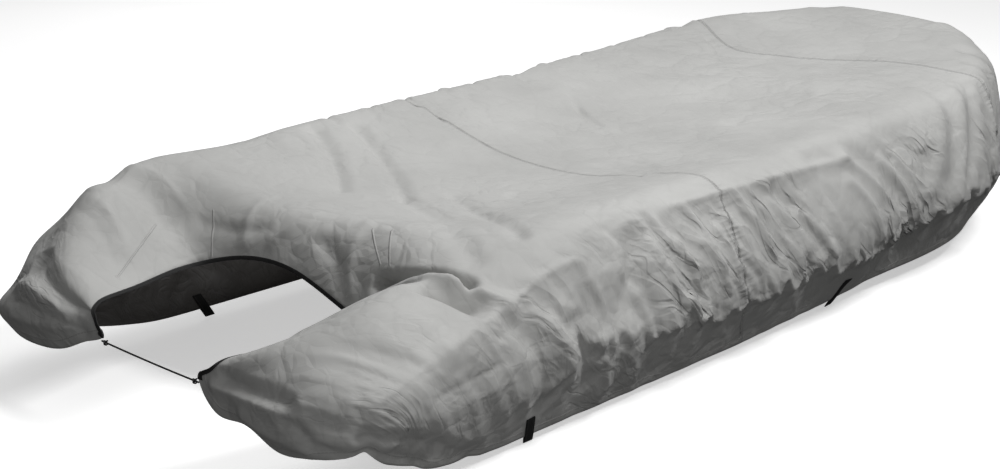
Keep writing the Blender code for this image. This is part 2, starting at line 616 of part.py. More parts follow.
def add_loop(name, side, y, lean, width, surface):
    """Webbing folded double round the hem, lying on the cloth outside and inside."""
    outer_skin, inner_skin, rim = surface
    spot = rim[np.argmin(np.abs(rim[:, 1] - y) + 9.0 * (rim[:, 0] * side < 0.0))]
    _, normal, _, _ = outer_skin.find_nearest(Vector(spot))
    normal = np.array(normal)
    up = np.cross(normal, (0.0, 1.0, 0.0))
    up *= math.copysign(1.0, up[2]) / np.linalg.norm(up)
    across = np.cross(up, normal)

    aft = -1.0 if across[1] > 0.0 else 1.0

    def slanted(u, shift):
        return shift + aft * lean * (LOOP_OUTER - u) / (LOOP_OUTER + LOOP_DROP)

    def level(skin, sign, u, shift):
        """Height of the webbing's middle over the hem plane, clear of the cloth all round the spot."""
        heights = []
        for du, ds in ((0.0, 0.0), (0.006, 0.0), (-0.006, 0.0), (0.0, 0.006), (0.0, -0.006)):
            guess = spot + up * max(u + du, LOOP_FOOT) + across * (slanted(u, shift) + ds)
            start = guess + normal * sign * 0.05
            hit = skin.ray_cast(Vector(start), Vector(-normal * sign), 0.10)[0]
            if hit:
                heights.append(sign * ((np.array(hit) - guess) @ normal))
        return sign * (max(heights) + LOOP_CLEARANCE + LOOP_WALL / 2.0)

    shifts = [width * (step / 3.0 - 0.5) for step in range(4)]
    outside = [LOOP_OUTER * share for share in (1.0, 0.8, 0.6, 0.4, 0.2, 0.05)]
    inside = [LOOP_INNER * share for share in (0.08, 0.4, 0.7, 1.0)]
    rows = [[(u, level(outer_skin, 1.0, u, shift)) for shift in shifts] for u in outside]
    turn = [(level(outer_skin, 1.0, 0.0, shift), level(inner_skin, -1.0, 0.0, shift)) for shift in shifts]
    for drop, share in ((0.35, 0.0), (0.75, 0.08), (0.97, 0.30), (0.97, 0.70), (0.75, 0.92), (0.35, 1.0)):
        rows.append([(-LOOP_DROP * drop, out + (into - out) * share) for out, into in turn])
    rows += [[(u, level(inner_skin, -1.0, u, shift)) for shift in shifts] for u in inside]

    grid = [spot + up * u + across * slanted(u, shift) + normal * height
            for row in rows for shift, (u, height) in zip(shifts, row)]
    grid = np.array(grid)
    columns = len(shifts)
    starts = [row * columns + step for row in range(len(rows) - 1) for step in range(columns - 1)]
    quads = [(first, first + 1, first + columns + 1, first + columns) for first in starts]
    facing = vertex_normals(grid, np.array(quads)) * LOOP_WALL / 2.0
    count = len(grid)
    solid = [list(quad) for quad in quads]
    solid += [[corner + count for corner in reversed(quad)] for quad in quads]
    for start, end in open_edges(quads):
        solid.append([end, start, start + count, end + count])
    return add_object(name, np.vstack([grid + facing, grid - facing]), solid, "black_webbing")


def centre_on_origin():
    """Moves all pieces so that the middle of the underside of their common box is the origin."""
    pieces = list(bpy.context.scene.collection.objects)
    meshes = [piece.data for piece in pieces if piece.type == "MESH"]
    corners = np.array([vertex.co[:] for mesh in meshes for vertex in mesh.vertices])
    low, high = corners.min(axis=0), corners.max(axis=0)
    middle = (low + high) / 2.0
    shift = Matrix.Translation((-middle[0], -middle[1], -low[2]))
    for piece in pieces:
        piece.data.transform(shift)


def build():
    clear_scene()
    points, neck_row, last_row = section_points()
    vertices, quads, panels = smooth_surface(points, cage_faces(points, neck_row, last_row))
    vertices = fold_cloth(vertices, quads)
    normals = vertex_normals(vertices, quads)
    arc = cutout_arc(points, vertices, quads)
    loop_rim = vertices[[vertex for vertex in boundary_loop(quads) if vertex not in arc]]
    triangles = [half for quad in quads.tolist() for half in halved(vertices, quad)]
    sides = (vertices, vertices - normals * CLOTH)
    skins = [BVHTree.FromPolygons(skin.tolist(), triangles) for skin in sides]

    faces = [(tuple(int(corner) for corner in quad), int(panel)) for quad, panel in zip(quads, panels)]
    vertices, normals, faces, pairs = strip_beside(vertices, normals, faces, arc)
    rim = set(open_edges([face for face, _ in faces]))
    for number, name in enumerate(("panel_stern", "panel_middle", "panel_bow")):
        add_cloth(name, vertices, normals, [face for face, panel in faces if panel == number], rim)

    add_binding(vertices, normals, pairs)
    _, port_end = add_tab("cord_tab_port", vertices, normals, pairs[:TAB_PAIRS], True)
    _, starboard_end = add_tab("cord_tab_starboard", vertices, normals, pairs[:-TAB_PAIRS - 1:-1], False)
    add_cord(port_end, starboard_end)
    for side, side_name in ((PORT, "port"), (STARBOARD, "starboard")):
        for place, y, lean, width in LOOPS:
            add_loop(f"strap_loop_{side_name}_{place}", side, y, lean, width, (*skins, loop_rim))
    centre_on_origin()


build()
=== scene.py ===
import math
from itertools import accumulate

import bpy
import numpy as np
from mathutils import Matrix, Vector
from mathutils.bvhtree import BVHTree
from mathutils.kdtree import KDTree


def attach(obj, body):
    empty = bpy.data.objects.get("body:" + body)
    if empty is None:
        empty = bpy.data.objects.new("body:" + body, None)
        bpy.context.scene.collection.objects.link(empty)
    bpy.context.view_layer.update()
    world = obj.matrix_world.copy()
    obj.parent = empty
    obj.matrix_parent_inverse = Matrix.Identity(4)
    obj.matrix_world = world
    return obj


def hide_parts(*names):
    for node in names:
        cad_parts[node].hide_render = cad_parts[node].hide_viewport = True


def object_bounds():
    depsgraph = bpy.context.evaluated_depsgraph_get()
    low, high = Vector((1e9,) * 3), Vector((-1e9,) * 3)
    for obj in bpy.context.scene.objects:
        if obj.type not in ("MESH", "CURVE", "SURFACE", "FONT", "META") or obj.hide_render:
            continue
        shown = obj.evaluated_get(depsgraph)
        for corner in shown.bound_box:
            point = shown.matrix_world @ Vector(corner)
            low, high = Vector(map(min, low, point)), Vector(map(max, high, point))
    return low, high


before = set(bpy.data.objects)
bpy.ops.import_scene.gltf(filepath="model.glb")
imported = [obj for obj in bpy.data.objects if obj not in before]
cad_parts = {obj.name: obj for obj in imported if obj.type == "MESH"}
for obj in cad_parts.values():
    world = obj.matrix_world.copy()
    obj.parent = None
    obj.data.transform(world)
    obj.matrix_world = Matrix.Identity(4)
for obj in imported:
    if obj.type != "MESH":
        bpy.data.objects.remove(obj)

bpy.ops.object.select_all(action="DESELECT")
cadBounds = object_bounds()

# The tables count y from the stern, as the sewing plan does. This takes them to the frame.
sternInFrame = np.array((0.0025, -1.7757, -0.0046))
port, starboard = -1, 1
mid, quarter, edge, crown, shoulder, widest, tuck, hem = range(8)   # columns of a section


def linear(hexColour):
    channels = [int(hexColour[i:i + 2], 16) / 255 for i in (1, 3, 5)]
    return tuple(c / 12.92 if c <= 0.04045 else ((c + 0.055) / 1.055) ** 2.4 for c in channels) + (1.0,)


def fillSockets(tree, node, inputs):
    # values and links into a node's sockets; a node given as a value hands on its first output
    for socket, value in inputs.items():
        if isinstance(value, bpy.types.Node):
            value = value.outputs[0]
        if isinstance(value, bpy.types.NodeSocket):
            tree.links.new(value, node.inputs[socket])
        else:
            node.inputs[socket].default_value = value


def addNode(tree, kind, inputs=None, **settings):
    made = tree.nodes.new("ShaderNode" + kind)
    for name, value in settings.items():
        setattr(made, name, value)
    fillSockets(tree, made, inputs or {})
    return made


def newMaterial(name):
    material = bpy.data.materials.new(name)
    material.use_nodes = True
    tree = material.node_tree
    return material, tree, tree.nodes["Principled BSDF"]


def putInScene(name, data):
    made = bpy.data.objects.new(name, data)
    bpy.context.scene.collection.objects.link(made)
    return made


def addObject(name, vertices, faces, materials):
    mesh = bpy.data.meshes.new(name)
    mesh.from_pydata((np.asarray(vertices) + sternInFrame).tolist(), [], [list(face) for face in faces])
    for material in materials:
        mesh.materials.append(material)
    mesh.shade_smooth()
    return putInScene(name, mesh)


def selectOnly(made):
    bpy.ops.object.select_all(action="DESELECT")
    made.select_set(True)
    bpy.context.view_layer.objects.active = made


def applyModifiers(made):
    selectOnly(made)
    for modifier in list(made.modifiers):
        bpy.ops.object.modifier_apply(modifier=modifier.name)
    made.select_set(False)


def giveAttribute(mesh, name, values):
    layer = mesh.attributes.new(name, "FLOAT", "POINT")
    layer.data.foreach_set("value", np.asarray(values, dtype=np.float32))


def giveUv(mesh, corners):
    # corners: one (u, v) in metres for each corner of each face
    layer = mesh.uv_layers.new(name="cloth")
    layer.data.foreach_set("uv", np.asarray(corners, dtype=np.float32).ravel())


def unit(vectors):
    return vectors / np.maximum(np.linalg.norm(vectors, axis=1), 1e-9)[:, None]


def dot(first, second):
    return (first * second).sum(axis=1)


def straight(start, end):
    # start, direction and length of a straight line
    start, end = np.array(start), np.array(end)
    length = np.linalg.norm(end - start)
    return start, (end - start) / length, length


def distanceAlong(line):
    # metres travelled at each point of a line
    return np.concatenate([[0.0], np.cumsum(np.linalg.norm(np.diff(line, axis=0), axis=1))])


def squareFrom(row, column):
    # corners of one square of a grid
    return (row, column), (row, column + 1), (row + 1, column + 1), (row + 1, column)


def gridFaces(rows, columns, along, aside, closed=False):
    # four-sided faces over rows of points, and the UV of their corners: metres along and aside
    faces, corners = [], []
    for row in range(rows - 1):
        for step in range(columns if closed else columns - 1):
            square = squareFrom(row, step)
            faces.append([at * columns + place % columns for at, place in square])
            corners += [(along[at], aside[place]) for at, place in square]
    return faces, corners


# One row for each section of the hull, both sides alike: how far forward the hem is drawn, then
# x and z of the hem, the tuck under the tube, the widest line, the shoulder and the crown, and
# the height of the slack top at the edge, at the quarter and on the centreline.
crownX, edgeX, quarterX = 0.570, 0.330, 0.165      # off the centreline
hullSections = (
    # y   drift  hem x  hem z  tuck x tuck z wide x wide z shld x shld z crwn x crwn z edge z qrtr z mid z
    (0.80, 0.000, 0.672, 0.030, 0.735, 0.165, 0.762, 0.310, 0.685, 0.485, 0.570, 0.552, 0.512, 0.488, 0.482),
    (0.97, 0.014, 0.670, 0.029, 0.735, 0.163, 0.762, 0.308, 0.685, 0.492, 0.570, 0.559, 0.509, 0.481, 0.474),
    (1.14, 0.040, 0.669, 0.028, 0.735, 0.161, 0.763, 0.307, 0.685, 0.497, 0.570, 0.562, 0.507, 0.477, 0.469),
    (1.32, 0.103, 0.668, 0.029, 0.735, 0.160, 0.764, 0.306, 0.684, 0.499, 0.570, 0.562, 0.507, 0.475, 0.466),
    (1.50, 0.150, 0.667, 0.030, 0.735, 0.160, 0.765, 0.306, 0.683, 0.500, 0.570, 0.562, 0.508, 0.474, 0.465),
    (1.65, 0.128, 0.666, 0.033, 0.735, 0.163, 0.765, 0.308, 0.683, 0.502, 0.570, 0.562, 0.510, 0.477, 0.468),
    (1.80, 0.090, 0.665, 0.036, 0.735, 0.167, 0.765, 0.312, 0.683, 0.504, 0.570, 0.562, 0.514, 0.483, 0.475),
    (1.95, 0.058, 0.664, 0.039, 0.734, 0.171, 0.764, 0.316, 0.682, 0.507, 0.569, 0.564, 0.520, 0.491, 0.483),
    (2.10, 0.030, 0.662, 0.043, 0.732, 0.176, 0.763, 0.320, 0.681, 0.510, 0.568, 0.567, 0.528, 0.502, 0.494),
    (2.25, 0.012, 0.659, 0.048, 0.728, 0.182, 0.759, 0.325, 0.678, 0.514, 0.566, 0.572, 0.537, 0.515, 0.507),
    (2.40, 0.000, 0.656, 0.054, 0.722, 0.190, 0.752, 0.332, 0.672, 0.520, 0.562, 0.578, 0.548, 0.530, 0.523),
)

# The section over the transom, where each side is pulled its own way.
transomMid = (0.590, 0.500)
transomSections = {
    port:
        (0.58, 0.00, 0.672, 0.034, 0.736, 0.168, 0.764, 0.320, 0.690, 0.498, 0.575, 0.556, 0.500, 0.495),
    starboard:
        (0.60, 0.00, 0.672, 0.030, 0.736, 0.165, 0.762, 0.300, 0.690, 0.425, 0.575, 0.500, 0.522, 0.515),
}

# Ribs of the tube sleeves from the end hem forward: off the centreline, y and z of the hem, the
# tuck, the widest line, the shoulder, the crown and the edge of the cut-out.
sleeveRibs = {
    port: (
        ((0.690, 0.040, 0.165), (0.600, 0.000, 0.158), (0.480, -0.010, 0.160),
         (0.370, -0.005, 0.180), (0.280, 0.000, 0.222), (0.200, 0.000, 0.256)),
        ((0.720, 0.075, 0.180), (0.700, 0.010, 0.215), (0.560, -0.020, 0.258),
         (0.430, -0.020, 0.285), (0.315, 0.000, 0.290), (0.232, 0.005, 0.290)),
        ((0.715, 0.150, 0.130), (0.740, 0.130, 0.230), (0.675, 0.072, 0.296),
         (0.550, 0.055, 0.352), (0.410, 0.040, 0.365), (0.270, 0.040, 0.322)),
        ((0.700, 0.240, 0.095), (0.750, 0.220, 0.200), (0.765, 0.190, 0.330),
         (0.655, 0.180, 0.412), (0.520, 0.160, 0.440), (0.305, 0.180, 0.318)),
        ((0.688, 0.340, 0.065), (0.745, 0.330, 0.180), (0.770, 0.320, 0.330),
         (0.690, 0.310, 0.465), (0.570, 0.305, 0.520), (0.332, 0.320, 0.320)),
    ),
    starboard: (
        ((0.680, 0.050, 0.176), (0.600, 0.010, 0.164), (0.470, 0.015, 0.142),
         (0.385, -0.005, 0.190), (0.275, -0.005, 0.186), (0.200, 0.000, 0.256)),
        ((0.715, 0.090, 0.180), (0.680, 0.010, 0.230), (0.560, -0.025, 0.250),
         (0.430, -0.025, 0.265), (0.315, -0.005, 0.272), (0.232, 0.005, 0.290)),
        ((0.710, 0.150, 0.140), (0.755, 0.120, 0.245), (0.700, 0.050, 0.325),
         (0.560, 0.040, 0.365), (0.400, 0.035, 0.362), (0.270, 0.040, 0.322)),
        ((0.700, 0.240, 0.100), (0.750, 0.220, 0.205), (0.768, 0.190, 0.315),
         (0.665, 0.165, 0.400), (0.490, 0.150, 0.430), (0.305, 0.180, 0.316)),
        ((0.688, 0.340, 0.062), (0.745, 0.330, 0.178), (0.770, 0.320, 0.315),
         (0.690, 0.310, 0.425), (0.530, 0.300, 0.478), (0.332, 0.320, 0.310)),
    ),
}

# The section at the front edge of the cut-out, with the quarter point as its last.
neckMid = (0.485, 0.372)
neckRibs = {
    port: ((0.678, 0.460, 0.044), (0.740, 0.460, 0.172), (0.766, 0.460, 0.325), (0.692, 0.455, 0.496),
           (0.575, 0.450, 0.540), (0.325, 0.440, 0.325), (0.170, 0.475, 0.368)),
    starboard: ((0.678, 0.470, 0.040), (0.740, 0.470, 0.168), (0.768, 0.470, 0.305), (0.700, 0.465, 0.420),
                (0.535, 0.450, 0.475), (0.325, 0.440, 0.300), (0.170, 0.475, 0.335)),
}

# Bow: the widest line is a superellipse seen from above, and the ribs stand square to it.
bowPlan = {"start": 2.55, "beam": 0.765, "length": 1.03, "power": 2.25}
# Degrees off straight ahead, then how far in from the widest line each level lies, and its height.
bowRibs = (
    # deg   hem in hem z  tuck in tuck z wide z shld in shld z crwn in crwn z
    (83.0, 0.090, 0.066, 0.028, 0.203, 0.342, 0.075, 0.532, 0.185, 0.592),
    (71.0, 0.080, 0.085, 0.015, 0.215, 0.357, 0.065, 0.560, 0.165, 0.612),
    (59.0, 0.062, 0.094, 0.000, 0.213, 0.366, 0.057, 0.577, 0.162, 0.628),
    (47.0, 0.050, 0.102, -0.008, 0.212, 0.375, 0.050, 0.590, 0.160, 0.640),
    (30.0, 0.052, 0.124, -0.005, 0.235, 0.390, 0.042, 0.605, 0.135, 0.652),
    (14.0, 0.060, 0.140, 0.006, 0.265, 0.405, 0.040, 0.610, 0.125, 0.655),
    (0.0, 0.060, 0.145, 0.006, 0.270, 0.410, 0.040, 0.610, 0.125, 0.655),
)
# y and z of the top between the tubes at the first bow ribs, from the port edge to the starboard edge.
bowTops = (
    ((2.70, 0.574), (2.70, 0.562), (2.70, 0.558), (2.70, 0.568), (2.70, 0.586)),
    ((2.88, 0.578), (2.90, 0.570), (2.94, 0.576), (2.98, 0.592), (3.01, 0.606)),
    ((3.13, 0.610), (3.17, 0.610), (3.20, 0.616), (3.22, 0.624), (3.21, 0.630)),
)
fullBowRibs = 4
seamRows = (11, 19)       # sections on which the three widths of cloth are joined
# How often each square of the cage is halved, the rounds that fit it to the table points, and in metres
# the cloth's thickness and how far each width stands back from its seam.
cloth = {"divisions": 4, "fitRounds": 14, "thickness": 0.0012, "seamGap": 0.0001}


def bowPoint(degreesOff, inward):
    # plan position on the bow rib that points so far off straight ahead
    turn = math.radians(degreesOff)
    outX, outY = math.sin(turn), math.cos(turn)
    dual = bowPlan["power"] / (bowPlan["power"] - 1.0)
    across, along = bowPlan["beam"] * outX, bowPlan["length"] * outY
    reach = (across ** dual + along ** dual) ** (1.0 / dual)
    x = bowPlan["beam"] * (across / reach) ** (dual / bowPlan["power"])
    y = bowPlan["start"] + bowPlan["length"] * (along / reach) ** (dual / bowPlan["power"])
    return x - outX * inward, y - outY * inward


def bowRib(row):
    # points of one bow rib from the hem to the crown
    off, hemIn, hemZ, tuckIn, tuckZ, wideZ, shoulderIn, shoulderZ, crownIn, crownZ = row
    steps = ((hemIn, hemZ), (tuckIn, tuckZ), (0.0, wideZ), (shoulderIn, shoulderZ), (crownIn, crownZ))
    return [(*bowPoint(off, inward), z) for inward, z in steps]


def hullSide(values):
    # points of one side of a hull section from the hem to the quarter
    y, drift = values[:2]
    driftShares = (1.0, 0.5, 0.1, 0.0, 0.0)
    points = [(x, y + drift * share, z) for x, z, share in zip(values[2:12:2], values[3:12:2], driftShares)]
    return points + [(edgeX, y, values[12]), (quarterX, y, values[13])]


def sectionPoints():
    # every table point by (row, column), columns negative to port
    points = {}

    def place(row, side, ribs):
        for step, (off, y, z) in enumerate(ribs):
            points[row, side * (hem - step)] = (side * off, y, z)

    neckRow = len(sleeveRibs[port])
    bowRow = neckRow + 2 + len(hullSections)
    capRow = bowRow + fullBowRibs - 1
    for side in (port, starboard):
        for row, rib in enumerate(sleeveRibs[side]):
            place(row, side, rib)
        place(neckRow, side, neckRibs[side])
        place(neckRow + 1, side, hullSide(transomSections[side]))
        for step, values in enumerate(hullSections):
            place(neckRow + 2 + step, side, hullSide(values))
        for step in range(fullBowRibs):
            place(bowRow + step, side, bowRib(bowRibs[step]))
        for step, column in ((fullBowRibs, edge), (fullBowRibs + 1, quarter)):
            for level, (off, y, z) in enumerate(reversed(bowRib(bowRibs[step]))):
                points[capRow + level, side * column] = (side * off, y, z)
    points[neckRow, mid] = (0.0, *neckMid)
    points[neckRow + 1, mid] = (0.0, *transomMid)
    for step, values in enumerate(hullSections):
        points[neckRow + 2 + step, mid] = (0.0, values[0], values[14])
    for step, tops in enumerate(bowTops):
        for column, x, (y, z) in zip(range(-edge, edge + 1), (-edgeX, -quarterX, 0.0, quarterX, edgeX), tops):
            points[bowRow + step, column] = (x, y, z)
    for level, (off, y, z) in enumerate(reversed(bowRib(bowRibs[-1]))):
        points[capRow + level, mid] = (off, y, z)
    return points, neckRow, capRow


def cageFaces(neckRow, capRow):
    # four-sided faces between neighbouring section points, with the number of their width of cloth
    faces = []
    for row in range(capRow):
        width = sum(row >= seam for seam in seamRows)
        for column in range(-hem, hem):
            if row >= neckRow or not -edge <= column < edge:
                faces.append((squareFrom(row, column), width))

    def bow(level, column):
        if abs(column) == crown:
            return capRow, int(math.copysign(crown + level, column))
        return capRow + level, column

    for level in range(hem - crown):
        for column in range(-crown, crown):
            faces.append(([bow(*corner) for corner in squareFrom(level, column)], len(seamRows)))
    return faces


def evaluated(made):
    shown = made.evaluated_get(bpy.context.evaluated_depsgraph_get())
    mesh = shown.to_mesh()
    vertices = np.array([vertex.co[:] for vertex in mesh.vertices], dtype=float)
    quads = np.array([polygon.vertices[:] for polygon in mesh.polygons])
    kinds = np.array([polygon.material_index for polygon in mesh.polygons])
    shown.to_mesh_clear()
    return vertices, quads, kinds


def girthAndDrop(points, capRow):
    # for each table point: metres round the hull from the bow, and metres down from the crown
    girth, drop = {}, {}
    levels = range(hem - crown + 1)

    def metresAlong(keys):
        steps = (math.dist(points[first], points[second]) for first, second in zip(keys, keys[1:]))
        return zip(keys, accumulate(steps, initial=0.0))

    for side in (port, starboard):
        ribs = [[(capRow + level, side * column) for level in levels] for column in range(crown)]
        ribs += [[(row, side * (crown + level)) for level in levels] for row in range(capRow, -1, -1)]
        widestLine = [rib[widest - crown] for rib in ribs]
        for rib, (_, run) in zip(ribs, metresAlong(widestLine)):
            for key, down in metresAlong(rib):
                girth[key], drop[key] = side * run, down
    for row, column in points:
        if (row, column) not in drop:
            x, y, _ = points[row, column]
            drop[row, column] = -min(crownX - abs(x), max(points[capRow, mid][1] - y, 0.0))
            girth[row, column] = girth[row, crown if column >= 0 else -crown]
    return girth, drop


def coverSurface():
    # the finely divided surface through every table point
    points, neckRow, capRow = sectionPoints()
    faces = cageFaces(neckRow, capRow)
    keys = sorted(points)
    place = {key: number for number, key in enumerate(keys)}
    target = np.array([points[key] for key in keys])
    mesh = bpy.data.meshes.new("sewing cage")
    mesh.from_pydata(target.tolist(), [], [[place[key] for key in face] for face, _ in faces])
    mesh.polygons.foreach_set("material_index", [width for _, width in faces])
    cage = putInScene("sewing cage", mesh)
    smooth = cage.modifiers.new("smooth", "SUBSURF")
    smooth.levels = smooth.render_levels = 1
    control = target.copy()
    for _ in range(cloth["fitRounds"]):
        control += target - evaluated(cage)[0][:len(target)]
        mesh.vertices.foreach_set("co", control.ravel())
        mesh.update()
    smooth.levels = smooth.render_levels = cloth["divisions"]
    vertices, quads, widths = evaluated(cage)
    girth, drop = girthAndDrop(points, capRow)
    flatSpots = np.array([(girth[key], drop[key], 0.0) for key in keys])
    mesh.vertices.foreach_set("co", flatSpots.ravel())
    mesh.update()
    flat = evaluated(cage)[0][:, :2]
    bpy.data.objects.remove(cage, do_unlink=True)
    return points, vertices, quads, widths, flat


def vertexNormals(vertices, quads):
    spots = vertices[quads]
    cross = np.cross(spots[:, 2] - spots[:, 0], spots[:, 3] - spots[:, 1])
    normals = np.zeros_like(vertices)
    for corner in range(4):
        np.add.at(normals, quads[:, corner], cross)
    return unit(normals)


